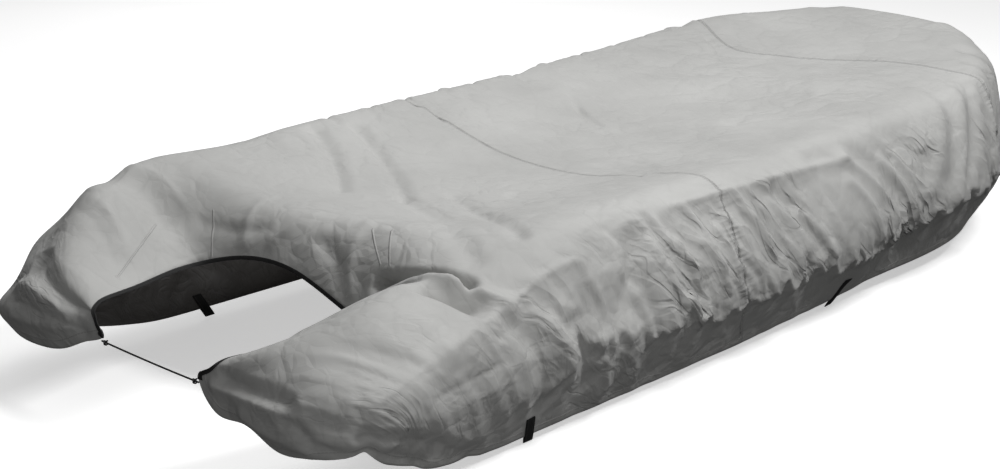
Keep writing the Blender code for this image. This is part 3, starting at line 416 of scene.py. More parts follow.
# Folds pressed into the cloth: from one point to another, bowed sideways by the bend, as wide on
# each side as the width. Sharp is 0 for a soft roll and 1 for a crisp crease.
folds = (
    # x0    y0     z0     x1     y1     z1     bend   width  height sharp
    # Starboard sleeve: lip over the cut-out, slit behind it, the peak and its facets.
    (0.36, 0.22, 0.38, 0.58, 0.46, 0.48, 0.00, 0.095, 0.014, 0.0),
    (0.35, 0.478, 0.40, 0.60, 0.503, 0.480, 0.00, 0.032, 0.020, 0.8),
    (0.32, 0.513, 0.41, 0.61, 0.543, 0.485, 0.00, 0.034, -0.056, 0.7),
    (0.60, 0.52, 0.48, 0.69, 0.59, 0.42, 0.00, 0.055, 0.014, 0.9),
    (0.70, 0.60, 0.42, 0.69, 0.86, 0.48, 0.02, 0.070, 0.010, 0.8),
    (0.57, 0.425, 0.485, 0.66, 0.50, 0.450, 0.00, 0.060, -0.052, 0.6),
    (0.69, 0.59, 0.42, 0.735, 0.34, 0.385, 0.00, 0.060, 0.013, 0.5),
    (0.735, 0.34, 0.385, 0.74, 0.10, 0.32, 0.00, 0.055, 0.007, 0.4),
    (0.715, 0.61, 0.39, 0.76, 0.63, 0.27, 0.01, 0.075, -0.009, 0.2),
    (0.755, 0.50, 0.31, 0.765, 0.26, 0.29, 0.00, 0.060, -0.010, 0.4),
    (0.30, 0.00, 0.285, 0.55, -0.01, 0.300, 0.00, 0.035, -0.012, 0.8),
    (0.26, 0.00, 0.255, 0.56, -0.02, 0.275, 0.00, 0.035, 0.010, 0.9),
    (0.56, -0.02, 0.265, 0.73, 0.07, 0.235, 0.01, 0.042, -0.009, 0.6),
    (0.73, 0.07, 0.235, 0.73, 0.32, 0.125, 0.02, 0.045, -0.011, 0.6),
    (0.73, 0.32, 0.14, 0.68, 0.48, 0.05, 0.00, 0.050, -0.010, 0.6),
    (0.60, -0.02, 0.265, 0.73, 0.15, 0.20, 0.01, 0.040, 0.009, 0.8),
    (0.60, -0.02, 0.24, 0.72, 0.09, 0.19, 0.00, 0.040, -0.011, 0.6),
    (0.72, 0.09, 0.19, 0.71, 0.27, 0.10, 0.01, 0.045, -0.012, 0.6),
    (0.40, -0.02, 0.22, 0.60, -0.01, 0.19, 0.00, 0.040, 0.008, 0.7),
    # Port sleeve: the hollow band over its top and the folds that run to the corner.
    (-0.61, 0.36, 0.53, -0.46, 0.40, 0.44, 0.02, 0.085, -0.022, 0.1),
    (-0.56, 0.26, 0.49, -0.40, 0.24, 0.40, 0.01, 0.060, 0.008, 0.5),
    (-0.56, 0.06, 0.36, -0.27, 0.01, 0.31, -0.02, 0.060, -0.014, 0.5),
    (-0.62, 0.01, 0.31, -0.35, 0.00, 0.28, 0.01, 0.040, 0.009, 0.9),
    (-0.60, -0.01, 0.26, -0.28, -0.01, 0.25, 0.01, 0.040, -0.009, 0.8),
    (-0.58, -0.02, 0.22, -0.32, -0.01, 0.25, 0.00, 0.035, 0.007, 0.9),
    (-0.38, 0.49, 0.42, -0.15, 0.52, 0.45, -0.01, 0.040, -0.005, 0.8),
    # Over the transom: creases that fan up from the edge of the cut-out.
    (-0.10, 0.52, 0.42, -0.03, 0.60, 0.49, 0.00, 0.040, 0.006, 0.9),
    (0.07, 0.54, 0.46, 0.19, 0.50, 0.38, 0.01, 0.045, -0.008, 0.8),
    (-0.20, 0.50, 0.40, -0.24, 0.60, 0.48, 0.01, 0.045, 0.006, 0.8),
    (0.22, 0.50, 0.38, 0.17, 0.62, 0.49, 0.01, 0.040, 0.006, 0.8),
    # Top: soft valleys that cross the sag, short crisp creases, slack between the seams.
    (-0.54, 1.06, 0.56, -0.20, 0.85, 0.49, 0.02, 0.050, -0.016, 0.6),
    (-0.50, 1.19, 0.55, -0.04, 0.95, 0.47, 0.03, 0.050, -0.017, 0.7),
    (-0.04, 0.95, 0.47, 0.20, 0.86, 0.48, 0.00, 0.050, -0.010, 0.5),
    (0.04, 1.07, 0.47, 0.57, 0.77, 0.54, 0.01, 0.046, -0.015, 0.8),
    (-0.29, 1.99, 0.51, -0.14, 1.94, 0.49, 0.00, 0.028, -0.007, 1.0),
    (-0.36, 2.04, 0.53, -0.24, 1.97, 0.51, 0.00, 0.028, -0.006, 1.0),
    (-0.43, 2.88, 0.59, -0.28, 2.77, 0.56, 0.01, 0.030, -0.006, 1.0),
    (-0.46, 2.41, 0.57, -0.36, 2.33, 0.55, 0.00, 0.028, -0.005, 1.0),
    (-0.53, 1.54, 0.55, -0.42, 1.49, 0.54, 0.00, 0.028, -0.006, 1.0),
    (-0.60, 1.34, 0.56, -0.50, 1.29, 0.55, 0.00, 0.028, -0.006, 1.0),
    (0.19, 2.04, 0.50, 0.31, 1.99, 0.52, 0.00, 0.030, 0.004, 1.0),
    (0.21, 1.72, 0.49, 0.40, 1.58, 0.53, 0.01, 0.030, 0.004, 1.0),
    # Starboard shoulder, where the top breaks over the tube into the side.
    (0.66, 1.26, 0.53, 0.67, 1.72, 0.52, 0.00, 0.055, 0.010, 0.9),
    (0.67, 1.72, 0.52, 0.68, 2.12, 0.51, 0.00, 0.055, 0.013, 0.9),
    (0.68, 2.12, 0.51, 0.76, 2.32, 0.30, 0.02, 0.055, 0.014, 0.9),
    (0.34, 0.72, 0.53, 0.55, 0.62, 0.50, 0.00, 0.060, -0.010, 0.5),
    (-0.50, 2.02, 0.55, -0.68, 2.10, 0.48, 0.00, 0.090, -0.010, 0.0),
    (-0.30, 2.30, 0.54, 0.20, 2.70, 0.56, 0.04, 0.110, 0.006, 0.0),
    (-0.40, 2.11, 0.54, -0.21, 2.07, 0.51, 0.01, 0.035, -0.005, 1.0),
    (-0.28, 1.98, 0.51, -0.08, 1.89, 0.48, 0.01, 0.035, -0.005, 1.0),
    (-0.17, 1.14, 0.48, 0.12, 1.19, 0.47, 0.02, 0.050, 0.005, 0.6),
    (0.14, 1.63, 0.47, 0.40, 1.50, 0.51, 0.02, 0.060, -0.006, 0.5),
    (-0.56, 1.73, 0.56, -0.40, 1.66, 0.53, 0.00, 0.040, -0.005, 0.9),
    (0.08, 2.80, 0.57, 0.31, 2.47, 0.55, 0.02, 0.050, 0.005, 0.6),
    (0.20, 2.20, 0.52, 0.50, 2.05, 0.56, 0.01, 0.060, -0.007, 0.4),
    # Starboard side: slack hanging off the shoulder, and crisp creases that run forward and down.
    (0.66, 1.04, 0.53, 0.75, 1.05, 0.36, 0.01, 0.085, -0.012, 0.3),
    (0.765, 0.86, 0.33, 0.765, 1.06, 0.33, 0.00, 0.130, -0.020, 0.0),
    (0.69, 1.11, 0.485, 0.735, 1.06, 0.40, 0.00, 0.060, -0.020, 0.5),
    (0.65, 1.18, 0.54, 0.71, 1.23, 0.45, 0.00, 0.030, 0.007, 1.0),
    (0.70, 1.15, 0.47, 0.76, 1.22, 0.30, 0.01, 0.032, 0.008, 1.0),
    (0.71, 1.25, 0.45, 0.76, 1.31, 0.33, 0.01, 0.030, 0.006, 1.0),
    (0.67, 1.33, 0.52, 0.75, 1.42, 0.35, 0.01, 0.032, 0.007, 1.0),
    (0.72, 1.36, 0.43, 0.77, 1.43, 0.29, 0.01, 0.030, 0.007, 1.0),
    (0.71, 1.45, 0.44, 0.76, 1.49, 0.33, 0.00, 0.030, 0.006, 1.0),
    (0.66, 1.02, 0.53, 0.69, 1.06, 0.49, 0.00, 0.035, -0.004, 1.0),
    (0.72, 0.88, 0.43, 0.76, 0.93, 0.29, 0.01, 0.035, 0.007, 0.9),
    (0.72, 1.03, 0.42, 0.76, 1.10, 0.25, 0.01, 0.035, 0.007, 0.9),
    (0.71, 1.60, 0.45, 0.77, 1.67, 0.25, 0.01, 0.035, 0.007, 0.9),
    (0.70, 1.75, 0.48, 0.76, 1.90, 0.30, 0.01, 0.050, -0.010, 0.5),
    (0.73, 1.82, 0.41, 0.77, 1.96, 0.26, 0.01, 0.035, 0.007, 0.9),
    (0.66, 2.00, 0.53, 0.74, 2.27, 0.38, 0.04, 0.090, -0.014, 0.3),
    (0.71, 2.11, 0.45, 0.76, 2.24, 0.25, 0.01, 0.035, 0.008, 0.9),
    (0.70, 2.30, 0.47, 0.75, 2.45, 0.27, 0.01, 0.040, 0.007, 0.9),
    (0.75, 0.64, 0.34, 0.73, 0.70, 0.14, 0.01, 0.070, -0.016, 0.5),
    (0.75, 0.71, 0.36, 0.75, 0.79, 0.18, 0.01, 0.040, 0.010, 0.8),
    (0.75, 0.80, 0.34, 0.74, 0.87, 0.14, 0.00, 0.050, -0.012, 0.6),
    (0.76, 0.88, 0.31, 0.71, 0.98, 0.10, 0.00, 0.060, 0.009, 0.5),
    (0.76, 1.09, 0.28, 0.70, 1.19, 0.08, 0.01, 0.080, -0.010, 0.2),
    (0.77, 1.28, 0.26, 0.71, 1.36, 0.09, 0.00, 0.080, 0.008, 0.2),
    (0.76, 1.50, 0.24, 0.71, 1.60, 0.10, 0.00, 0.080, -0.009, 0.2),
    (0.76, 1.84, 0.24, 0.70, 1.96, 0.09, 0.01, 0.080, -0.009, 0.2),
    (0.75, 2.12, 0.24, 0.71, 2.24, 0.12, 0.00, 0.080, 0.007, 0.2),
    (0.75, 2.42, 0.26, 0.70, 2.50, 0.12, 0.00, 0.080, -0.009, 0.2),
    # Starboard bow: folds down from the seam and tucks below the crown.
    (0.55, 2.80, 0.60, 0.75, 2.66, 0.34, 0.02, 0.070, -0.014, 0.4),
    (0.54, 2.74, 0.59, 0.75, 2.52, 0.33, 0.02, 0.050, 0.009, 0.7),
    (0.63, 2.93, 0.59, 0.75, 2.76, 0.32, 0.00, 0.060, -0.012, 0.5),
    (0.62, 2.84, 0.59, 0.76, 2.70, 0.30, 0.01, 0.045, 0.010, 0.8),
    (0.61, 3.04, 0.57, 0.68, 2.98, 0.34, 0.01, 0.050, 0.009, 0.7),
    (0.52, 3.14, 0.61, 0.60, 3.16, 0.40, 0.00, 0.060, -0.011, 0.5),
    (0.43, 3.24, 0.63, 0.56, 3.26, 0.40, 0.00, 0.060, -0.012, 0.5),
    (0.20, 3.44, 0.62, 0.26, 3.50, 0.34, 0.00, 0.060, 0.009, 0.6),
    # Port side.
    (-0.75, 0.70, 0.36, -0.72, 0.78, 0.12, 0.00, 0.080, -0.012, 0.4),
    (-0.70, 0.86, 0.47, -0.76, 0.98, 0.28, 0.01, 0.045, 0.008, 0.8),
    (-0.76, 1.20, 0.34, -0.71, 1.30, 0.10, 0.00, 0.080, -0.010, 0.3),
    (-0.69, 1.36, 0.48, -0.76, 1.50, 0.28, 0.01, 0.045, 0.008, 0.8),
    (-0.76, 1.72, 0.36, -0.71, 1.80, 0.10, 0.00, 0.080, -0.010, 0.3),
    (-0.70, 1.94, 0.47, -0.76, 2.06, 0.28, 0.01, 0.045, 0.008, 0.8),
    (-0.75, 2.26, 0.36, -0.70, 2.36, 0.12, 0.00, 0.080, -0.010, 0.3),
    (-0.62, 2.96, 0.56, -0.72, 2.86, 0.24, 0.00, 0.070, -0.012, 0.5),
    (-0.30, 3.46, 0.60, -0.36, 3.50, 0.26, 0.00, 0.080, -0.012, 0.5),
    # Small tucks over the port shoulder, which nick the outline.
    *((-0.71, y, 0.46, -0.54, y - lean, 0.57, 0.00, 0.034, depth, 1.0) for y, lean, depth in (
        (1.21, 0.05, -0.009), (1.38, 0.02, -0.006), (1.55, 0.05, -0.009), (1.71, 0.00, 0.006),
        (1.88, 0.06, -0.008), (2.05, 0.03, -0.010), (2.22, 0.04, 0.006), (2.43, 0.06, -0.009),
        (2.60, 0.02, -0.006), (2.79, 0.05, -0.009))),
)
foldReach = 0.10          # how far off its line a fold still shapes the cloth, along the normal
crispness = 1.8           # how fast the cloth falls away from a crisp crease
onTop = -0.02             # the cloth lies flat on top where its drop is less than this


def foldCloth(vertices, quads, rows):
    normals = vertexNormals(vertices, quads)
    lift = np.zeros(len(vertices))
    for x0, y0, z0, x1, y1, z1, bend, width, height, sharp in rows:
        start, chord, length = straight((x0, y0, z0), (x1, y1, z1))
        offset = vertices - start
        along = np.clip(offset @ chord / length, 0.0, 1.0)
        bow = (4.0 * bend * along * (1.0 - along))[:, None] * np.cross(normals, chord)
        away = offset - along[:, None] * chord * length - bow
        depth = dot(away, normals)
        spread = np.linalg.norm(away - depth[:, None] * normals, axis=1) / width
        roll = np.clip(1.0 - spread ** 2, 0.0, 1.0) ** 2
        crease = np.clip(1.0 - spread, 0.0, 1.0) ** crispness
        lift += height * (roll * (1.0 - sharp) + crease * sharp) * (np.abs(depth) < foldReach)
    return vertices + lift[:, None] * normals


# The random waves in the cloth: how long a cell is along the hull and down the side, in metres, and
# the number that its draws start from.
waves = {
    "wander of the turned edge": (0.17, 1.0, 41), "teeth of the turned edge": (0.090, 1.0, 42),
    "proudness of the turned edge": (0.11, 1.0, 43), "lobes under the edge": (0.16, 0.50, 44),
    "turn of the creases": (0.30, 0.20, 31), "twist of the creases": (0.12, 0.12, 32),
    "large slack patches": (0.35, 0.30, 5), "small slack patches": (0.13, 0.16, 6),
    "long starting waves": (0.08, 0.30, 23), "short starting waves": (0.045, 0.22, 21),
    "fine starting waves": (0.030, 0.12, 22), "stiffness": (0.22, 0.22, 33),
}


noiseCells = (97, 89)     # cells along and down before the waves come round again
noiseOrigin = 500.0       # cells added so that none is counted below 0
noiseHeight = 1.5         # brings the waves to about -1 to 1


def clothNoise(name, along, down):
    # smooth random waves, one to a cell
    cellAlong, cellDown, seed = waves[name]
    turns = np.random.default_rng(seed).random(noiseCells) * 2.0 * math.pi
    u, v = along / cellAlong + noiseOrigin, down / cellDown + noiseOrigin
    column, row = np.floor(u).astype(int), np.floor(v).astype(int)
    shareU, shareV = u - column, v - row

    def corner(stepU, stepV):
        angle = turns[(column + stepU) % noiseCells[0], (row + stepV) % noiseCells[1]]
        return np.cos(angle) * (shareU - stepU) + np.sin(angle) * (shareV - stepV)

    easeU, easeV = (share ** 3 * (share * (share * 6 - 15) + 10) for share in (shareU, shareV))
    low = corner(0, 0) * (1 - easeU) + corner(1, 0) * easeU
    high = corner(0, 1) * (1 - easeU) + corner(1, 1) * easeU
    return (low * (1 - easeV) + high * easeV) * noiseHeight


def between(values, low, high):
    # 0 below low, 1 above high, eased in the middle
    share = np.clip((values - low) / (high - low), 0.0, 1.0)
    return share * share * (3.0 - 2.0 * share)


def smoothed(values, rounds):
    for _ in range(rounds):
        values = np.vstack([values[:1], (values[:-2] + values[1:-1] * 2 + values[2:]) / 4, values[-1:]])
    return values


# Height at which the side turns under the tube, by metres from the stern.
turnAt = (
    # y, z
    (0.20, 0.24), (0.45, 0.23), (0.64, 0.20), (0.72, 0.22), (0.79, 0.32), (0.87, 0.30), (0.97, 0.27),
    (1.04, 0.29), (1.12, 0.23), (1.30, 0.25), (1.42, 0.20), (1.61, 0.22), (1.86, 0.20), (1.96, 0.23),
    (2.04, 0.19), (2.44, 0.21), (2.70, 0.25),
)
# The same edge, in metres: the height that its drop is counted from, how far it wanders and its teeth
# hang, how proud it stands and how unevenly, how far above and below it the cloth is lifted and how
# steeply, between which two places from the stern it begins, and how high it may come.
turnedEdge = {"level": 0.640, "wander": 0.016, "teeth": 0.052, "proud": 0.012, "uneven": 0.6, "above": 0.11,
              "below": 0.048, "risesAs": 1.6, "fallsAs": 1.3, "begins": (0.45, 0.82), "leastDrop": 0.05}


def turnUnder(vertices, quads, girth, drop):
    # the ragged line at which the side turns under the tube, and the cloth lifted along it
    still = np.zeros(len(girth))
    line = turnedEdge["level"] - np.interp(vertices[:, 1], *zip(*turnAt))
    line += clothNoise("wander of the turned edge", girth, still) * turnedEdge["wander"]
    line += (0.5 - np.abs(clothNoise("teeth of the turned edge", girth, still)) * 2.0) * turnedEdge["teeth"]
    past = drop - line
    rise = np.clip(1.0 + past / turnedEdge["above"], 0.0, 1.0) ** turnedEdge["risesAs"]
    fall = np.clip(1.0 - past / turnedEdge["below"], 0.0, 1.0) ** turnedEdge["fallsAs"]
    here = between(vertices[:, 1], *turnedEdge["begins"]) * (drop > turnedEdge["leastDrop"])
    uneven = 1.0 + turnedEdge["uneven"] * clothNoise("proudness of the turned edge", girth, still)
    lift = turnedEdge["proud"] * uneven * np.where(past < 0.0, rise, fall) * here
    return vertices + vertexNormals(vertices, quads) * lift[:, None], line


def openEdges(quadList):
    edges = set()
    for quad in quadList:
        corners = [int(corner) for corner in quad]
        edges.update(zip(corners, corners[1:] + corners[:1]))
    return {(start, end) for start, end in edges if (end, start) not in edges}


def nearestOn(spots, line):
    # for each spot: how far off the line it is, and how far along the line in metres
    tree = KDTree(len(line))
    for number, point in enumerate(line):
        tree.insert(point, number)
    tree.balance()
    ahead = unit(np.vstack([line[1:], line[-1:]]) - np.vstack([line[:1], line[:-1]]))
    found = np.array([tree.find(spot)[1] for spot in spots])
    offset = spots - line[found]
    onward = dot(offset, ahead[found])
    gap = np.sqrt(np.maximum((offset ** 2).sum(axis=1) - onward ** 2, 0.0))
    return gap, distanceAlong(line)[found] + onward


def chained(edges):
    # the points of a closed or open run of edges in order
    onward = dict(edges)
    starts = set(onward) - set(onward.values())
    run = [min(starts) if starts else min(onward)]
    while run[-1] in onward and onward[run[-1]] != run[0]:
        run.append(onward[run[-1]])
    return run


# The slack that wrinkles the cloth.
slack = {
    # extra length as a share: across the creases, the same every way, in the lobes at the turned edge
    # and beside the seams
    "side": 0.11, "top": 0.006, "sleeve": 0.02, "every": 0.004, "sideEvery": 0.008, "sleeveEvery": 0.006,
    "lobes": 0.07, "lobesMean": 0.6, "lobesUneven": 0.5, "pucker": 0.012,
    # how evenly it is spread, how strong its patches are, how calm the cloth is under the tube, and how
    # much less crumpled it is there and on the sleeves
    "even": 0.40, "largePatches": 0.95, "smallPatches": 0.45, "most": 1.8, "calm": 0.85,
    "smoothUnder": 0.7, "smoothSleeves": 0.65,
    # where it begins and ends, in metres down from the crown or the turned edge, or from the stern
    "sideFrom": (0.06, 0.26), "portHigher": 0.12, "portFrom": (0.0, 0.8), "underFrom": (-0.01, 0.05),
    "sleevesTo": (0.58, 0.84),
    # metres that it reaches round the turned edge, a seam and the rim, and what the rim leaves of it
    "lobesAbove": 0.02, "lobesReach": 0.05, "puckerReach": 0.05, "rimReach": (0.0, 0.06), "atRim": 0.15,
    # how far the creases lean forward going down, in radians, and how much they are turned about
    "lean": -0.65, "uprightFrom": (0.30, 0.42), "upright": 0.8, "turn": 0.30, "twist": 0.16,
}


def acrossCreases(vertices, quads, girth, drop, first, second, apart, lengths):
    # the way along the cloth that is square to the creases
    normals = vertexNormals(vertices, quads)
    change = ((girth[second] - girth[first]) / lengths ** 2)[:, None] * apart
    around = np.stack([np.bincount(first, change[:, axis], len(vertices)) +
                       np.bincount(second, change[:, axis], len(vertices)) for axis in range(3)], axis=1)
    around[drop < onTop] = (0.0, 1.0, 0.0)
    around -= dot(around, normals)[:, None] * normals
    around = unit(around)
    down = np.cross(normals, around)
    down *= np.where(down[:, 2] > 0.0, -1.0, 1.0)[:, None]
    forward = around * np.where(around[:, 1] > 0.0, 1.0, -1.0)[:, None]
    lean = slack["lean"] * (1.0 - slack["upright"] * between(drop, *slack["uprightFrom"]))
    lean = lean + clothNoise("turn of the creases", girth, drop) * slack["turn"]
    lean = lean + clothNoise("twist of the creases", girth, drop) * slack["twist"]
    return forward * np.cos(lean)[:, None] + down * np.sin(lean)[:, None]


def slackField(vertices, quads, girth, drop, turnLine, gaps, first, second, apart):
    # the length each thread is cut to, for every pair of neighbours, and how crumpled each point is
    rimGap, seamGap = gaps
    lengths = np.linalg.norm(apart, axis=1)
    across = acrossCreases(vertices, quads, girth, drop, first, second, apart, lengths)
    side = between(drop + slack["portHigher"] * between(-girth, *slack["portFrom"]), *slack["sideFrom"])
    under = between(drop, turnLine + slack["underFrom"][0], turnLine + slack["underFrom"][1])
    sleeves = 1.0 - between(vertices[:, 1], *slack["sleevesTo"])
    patches = clothNoise("large slack patches", girth, drop) * slack["largePatches"]
    patches = patches + clothNoise("small slack patches", girth, drop) * slack["smallPatches"]
    amount = np.clip(slack["even"] + patches, 0.0, slack["most"])
    oneWay = slack["side"] * side * (1.0 - under * slack["calm"]) + slack["top"] * (1.0 - side)
    oneWay = (oneWay * (1.0 - sleeves * side) + slack["sleeve"] * sleeves * side) * amount
    lobes = np.exp(-((drop - turnLine + slack["lobesAbove"]) / slack["lobesReach"]) ** 2) * (1.0 - sleeves)
    uneven = clothNoise("lobes under the edge", girth, drop) * slack["lobesUneven"] + slack["lobesMean"]
    lobes = lobes * slack["lobes"] * uneven
    allWays = slack["every"] + slack["sleeveEvery"] * sleeves + slack["sideEvery"] * side * (1.0 - under)
    allWays = allWays + lobes + slack["pucker"] * np.exp(-(seamGap / slack["puckerReach"]) ** 2)
    held = slack["atRim"] + (1.0 - slack["atRim"]) * between(rimGap, *slack["rimReach"])
    oneWay, allWays = oneWay * held, allWays * held
    turned = dot(apart, unit(across[first] + across[second])) / lengths
    stretch = (oneWay[first] + oneWay[second]) / 2.0
    wanted = lengths * (1.0 + (allWays[first] + allWays[second]) / 2.0)
    wanted *= np.sqrt(1.0 + (2.0 * stretch + stretch ** 2) * turned ** 2)
    crumple = amount * side * (1.0 - under * slack["smoothUnder"]) * (1.0 - sleeves * slack["smoothSleeves"])
    return wanted, crumple


# How the slack is let buckle: the height and lean of the waves that start it, their share on top, what
# the side and the cloth off the rim add to it and where the side begins. Then the share that crossed
# threads pull, the rounds, how far each round draws the threads, and how stiff the cloth is at first, at
# last and at most, so that large folds form before crisp creases. The rest says how wide and how free
# the rim is, and how far the cloth may move out, in and sideways, in metres.
buckling = {
    "seed": 0.006, "seedLean": 0.6, "seedOnTop": 0.2, "seedBySide": 0.8, "seedSide": (0.02, 0.16),
    "seedAtRim": 0.3, "seedOffRim": 0.7,
    "shear": 0.35, "rounds": 260, "quickRounds": 8, "draw": 2.6, "stiffFirst": 0.08, "stiffLast": 0.006,
    "stiffMost": 0.6, "lastFrom": 0.8, "unevenly": 0.8,
    "rim": 0.001, "rimFree": 0.15, "outMost": 0.020, "inMost": 0.014, "slideMost": 0.012,
}


def startingWaves(girth, drop, rimGap):
    leaned = girth + drop * buckling["seedLean"]
    seed = sum(clothNoise(name, leaned, drop) * share for name, share in (
        ("long starting waves", 0.8), ("short starting waves", 0.5), ("fine starting waves", 0.3)))
    side = buckling["seedOnTop"] + buckling["seedBySide"] * between(drop, *buckling["seedSide"])
    held = buckling["seedAtRim"] + buckling["seedOffRim"] * between(rimGap, *slack["rimReach"])
    return seed * buckling["seed"] * side * held


def wrinkleCloth(vertices, quads, girth, drop, turnLine, gaps):
    # lets the slack buckle: threads are drawn to their cut length, and the cloth resists bending;
    # gaps are how far each point is off the rim and off the nearest seam
    rimGap = gaps[0]
    sides = np.sort(np.vstack([quads[:, [at, (at + 1) % 4]] for at in range(4)]), axis=1)
    sides = np.unique(sides, axis=0)
    crossed = np.vstack([quads[:, [0, 2]], quads[:, [1, 3]]])
    first, second = np.vstack([sides, crossed]).T
    weight = np.concatenate([np.ones(len(sides)), np.full(len(crossed), buckling["shear"])])
    apart = vertices[second] - vertices[first]
    wanted, crumple = slackField(vertices, quads, girth, drop, turnLine, gaps, first, second, apart)
    normals = vertexNormals(vertices, quads)
    placed = vertices + normals * startingWaves(girth, drop, rimGap)[:, None]
    free = np.where(rimGap < buckling["rim"], buckling["rimFree"], 1.0)[:, None]
    size = len(vertices)
    pull = np.bincount(first, weight, size) + np.bincount(second, weight, size)
    beside = np.bincount(sides[:, 0], minlength=size) + np.bincount(sides[:, 1], minlength=size)
    uneven = np.exp(clothNoise("stiffness", girth, drop) * buckling["unevenly"])
    rounds = buckling["rounds"]
    for step in range(rounds):
        span = placed[second] - placed[first]
        length = np.linalg.norm(span, axis=1)
        draw = span * ((length - wanted) / length * weight * 0.5)[:, None]
        moved = [np.bincount(first, draw[:, axis], size) - np.bincount(second, draw[:, axis], size)
                 for axis in range(3)]
        placed += np.stack(moved, axis=1) / pull[:, None] * buckling["draw"] * free
        offset = placed - vertices
        share = min(step / (rounds * buckling["lastFrom"]), 1.0)
        softer = (buckling["stiffLast"] / buckling["stiffFirst"]) ** share
        stiff = np.minimum(buckling["stiffFirst"] * softer * uneven, buckling["stiffMost"])
        for axis in range(3):
            column = offset[:, axis]
            mean = (np.bincount(sides[:, 0], column[sides[:, 1]], size) +
                    np.bincount(sides[:, 1], column[sides[:, 0]], size)) / beside
            offset[:, axis] += stiff * (mean - column)
        height = dot(offset, normals)
        along = offset - height[:, None] * normals
        height = np.clip(height, -buckling["inMost"], buckling["outMost"])
        reach = np.linalg.norm(along, axis=1)
        along *= np.minimum(1.0, buckling["slideMost"] / np.maximum(reach, 1e-9))[:, None]
        placed = vertices + height[:, None] * normals + along
    return placed, crumple


# Sewn darts: from one end to the other on the surface. Neighbours are in different sets.
darts = (
    # set x0    y0    z0     x1    y1    z1
    (0, 0.21, 0.59, 0.51, 0.32, 0.52, 0.44),
    (1, 0.27, 0.60, 0.52, 0.34, 0.53, 0.45),
    (0, -0.36, 0.51, 0.45, -0.31, 0.45, 0.36),
    (1, -0.45, 0.38, 0.43, -0.35, 0.17, 0.35),
)
# Metres off its line, and off the cloth's level, that a dart still shapes the cloth.
dartReach = {"full": 0.016, "none": 0.030, "level": 0.06}


def dartLines(vertices, quads, wantedSet):
    # for each point: how near a dart it is (1 on it), and its signed distance off it times that
    normals = vertexNormals(vertices, quads)
    near, aside = np.zeros(len(vertices)), np.zeros(len(vertices))
    for ownSet, *ends in darts:
        start, chord, length = straight(ends[:3], ends[3:])
        offset = vertices - start
        along = offset @ chord
        off = dot(offset, np.cross(normals, chord))
        beyond = np.maximum(np.maximum(-along, along - length), 0.0)   # fades twice as fast past its ends
        share = 1.0 - between(np.hypot(off, beyond * 2.0), dartReach["full"], dartReach["none"])
        share *= (np.abs(dot(offset, normals)) < dartReach["level"]) * (ownSet == wantedSet)
        near, aside = np.maximum(near, share), np.where(share > near, off * share, aside)
    return near, aside


points, vertices, quads, widths, flat = coverSurface()
girth, drop = flat[:, 0], flat[:, 1]
wholeRim = openEdges(quads)
rimLoop = chained(wholeRim)
print("cover surface:", len(vertices), "points,", len(quads), "faces")


def cutoutArc():
    # rim vertices along the cut-out from the port corner to the starboard corner, and those of the hem
    spots = vertices[rimLoop]
    first = int(np.argmin(np.linalg.norm(spots - points[0, -edge], axis=1)))
    last = int(np.argmin(np.linalg.norm(spots - points[0, edge], axis=1)))
    loop = rimLoop[first:] + rimLoop[:first]
    end = (last - first) % len(loop)
    ways = (loop[:end + 1], [loop[0]] + loop[end:][::-1])
    arc = min(ways, key=lambda way: np.abs(vertices[way][:, 0]).max())
    rest = max(ways, key=lambda way: np.abs(vertices[way][:, 0]).max())
    return arc, rest


arc, hemLine = cutoutArc()
seamLines = []
for number in range(len(seamRows)):
    behind, ahead = openEdges(quads[widths == number]), openEdges(quads[widths == number + 1])
    seamLines.append(chained({(start, end) for start, end in behind if (end, start) in ahead}))

vertices = foldCloth(vertices, quads, folds)
vertices, turnLine = turnUnder(vertices, quads, girth, drop)
rimGap = nearestOn(vertices, vertices[rimLoop])[0]
seamGap = np.minimum(*(nearestOn(vertices, vertices[line])[0] for line in seamLines))
vertices, crumple = wrinkleCloth(vertices, quads, girth, drop, turnLine, (rimGap, seamGap))
normals = vertexNormals(vertices, quads)
print("slack worked into wrinkles")


# Sewing and weave, in metres. Stitches 4 mm apart and 0.5 mm thick would not show, so they are drawn
# 9 mm apart and 2 mm thick, and those on the tapes 5 mm apart. The entry for a stitch is the share of
# its pitch that it fills.
sewing = {"pitch": 0.009, "thread": 0.0016, "beside": 0.006, "groove": 0.0032, "hemWidth": 0.025,
          "tapePitch": 0.005, "tapeThread": 0.0009, "stitch": 0.68, "weave": 0.0025}


def lineOf(tree, distance, at, half):
    # 1 on a line that lies so far off, fading to 0 over its half width
    off = addNode(tree, "Math", {0: distance, 1: at}, operation="SUBTRACT")
    off = addNode(tree, "Math", {0: off}, operation="ABSOLUTE")
    return addNode(tree, "MapRange", {"Value": off, "From Min": half * 0.4, "From Max": half,
                                      "To Min": 1.0, "To Max": 0.0})


def stitchesOn(tree, line, run, pitch):
    # breaks a line into stitches
    share = addNode(tree, "Math", {0: run, 1: 1.0 / pitch}, operation="MULTIPLY")
    share = addNode(tree, "Math", {0: share}, operation="FRACT")
    shown = addNode(tree, "Math", {0: share, 1: sewing["stitch"]}, operation="LESS_THAN")
    return addNode(tree, "Math", {0: line, 1: shown}, operation="MULTIPLY")


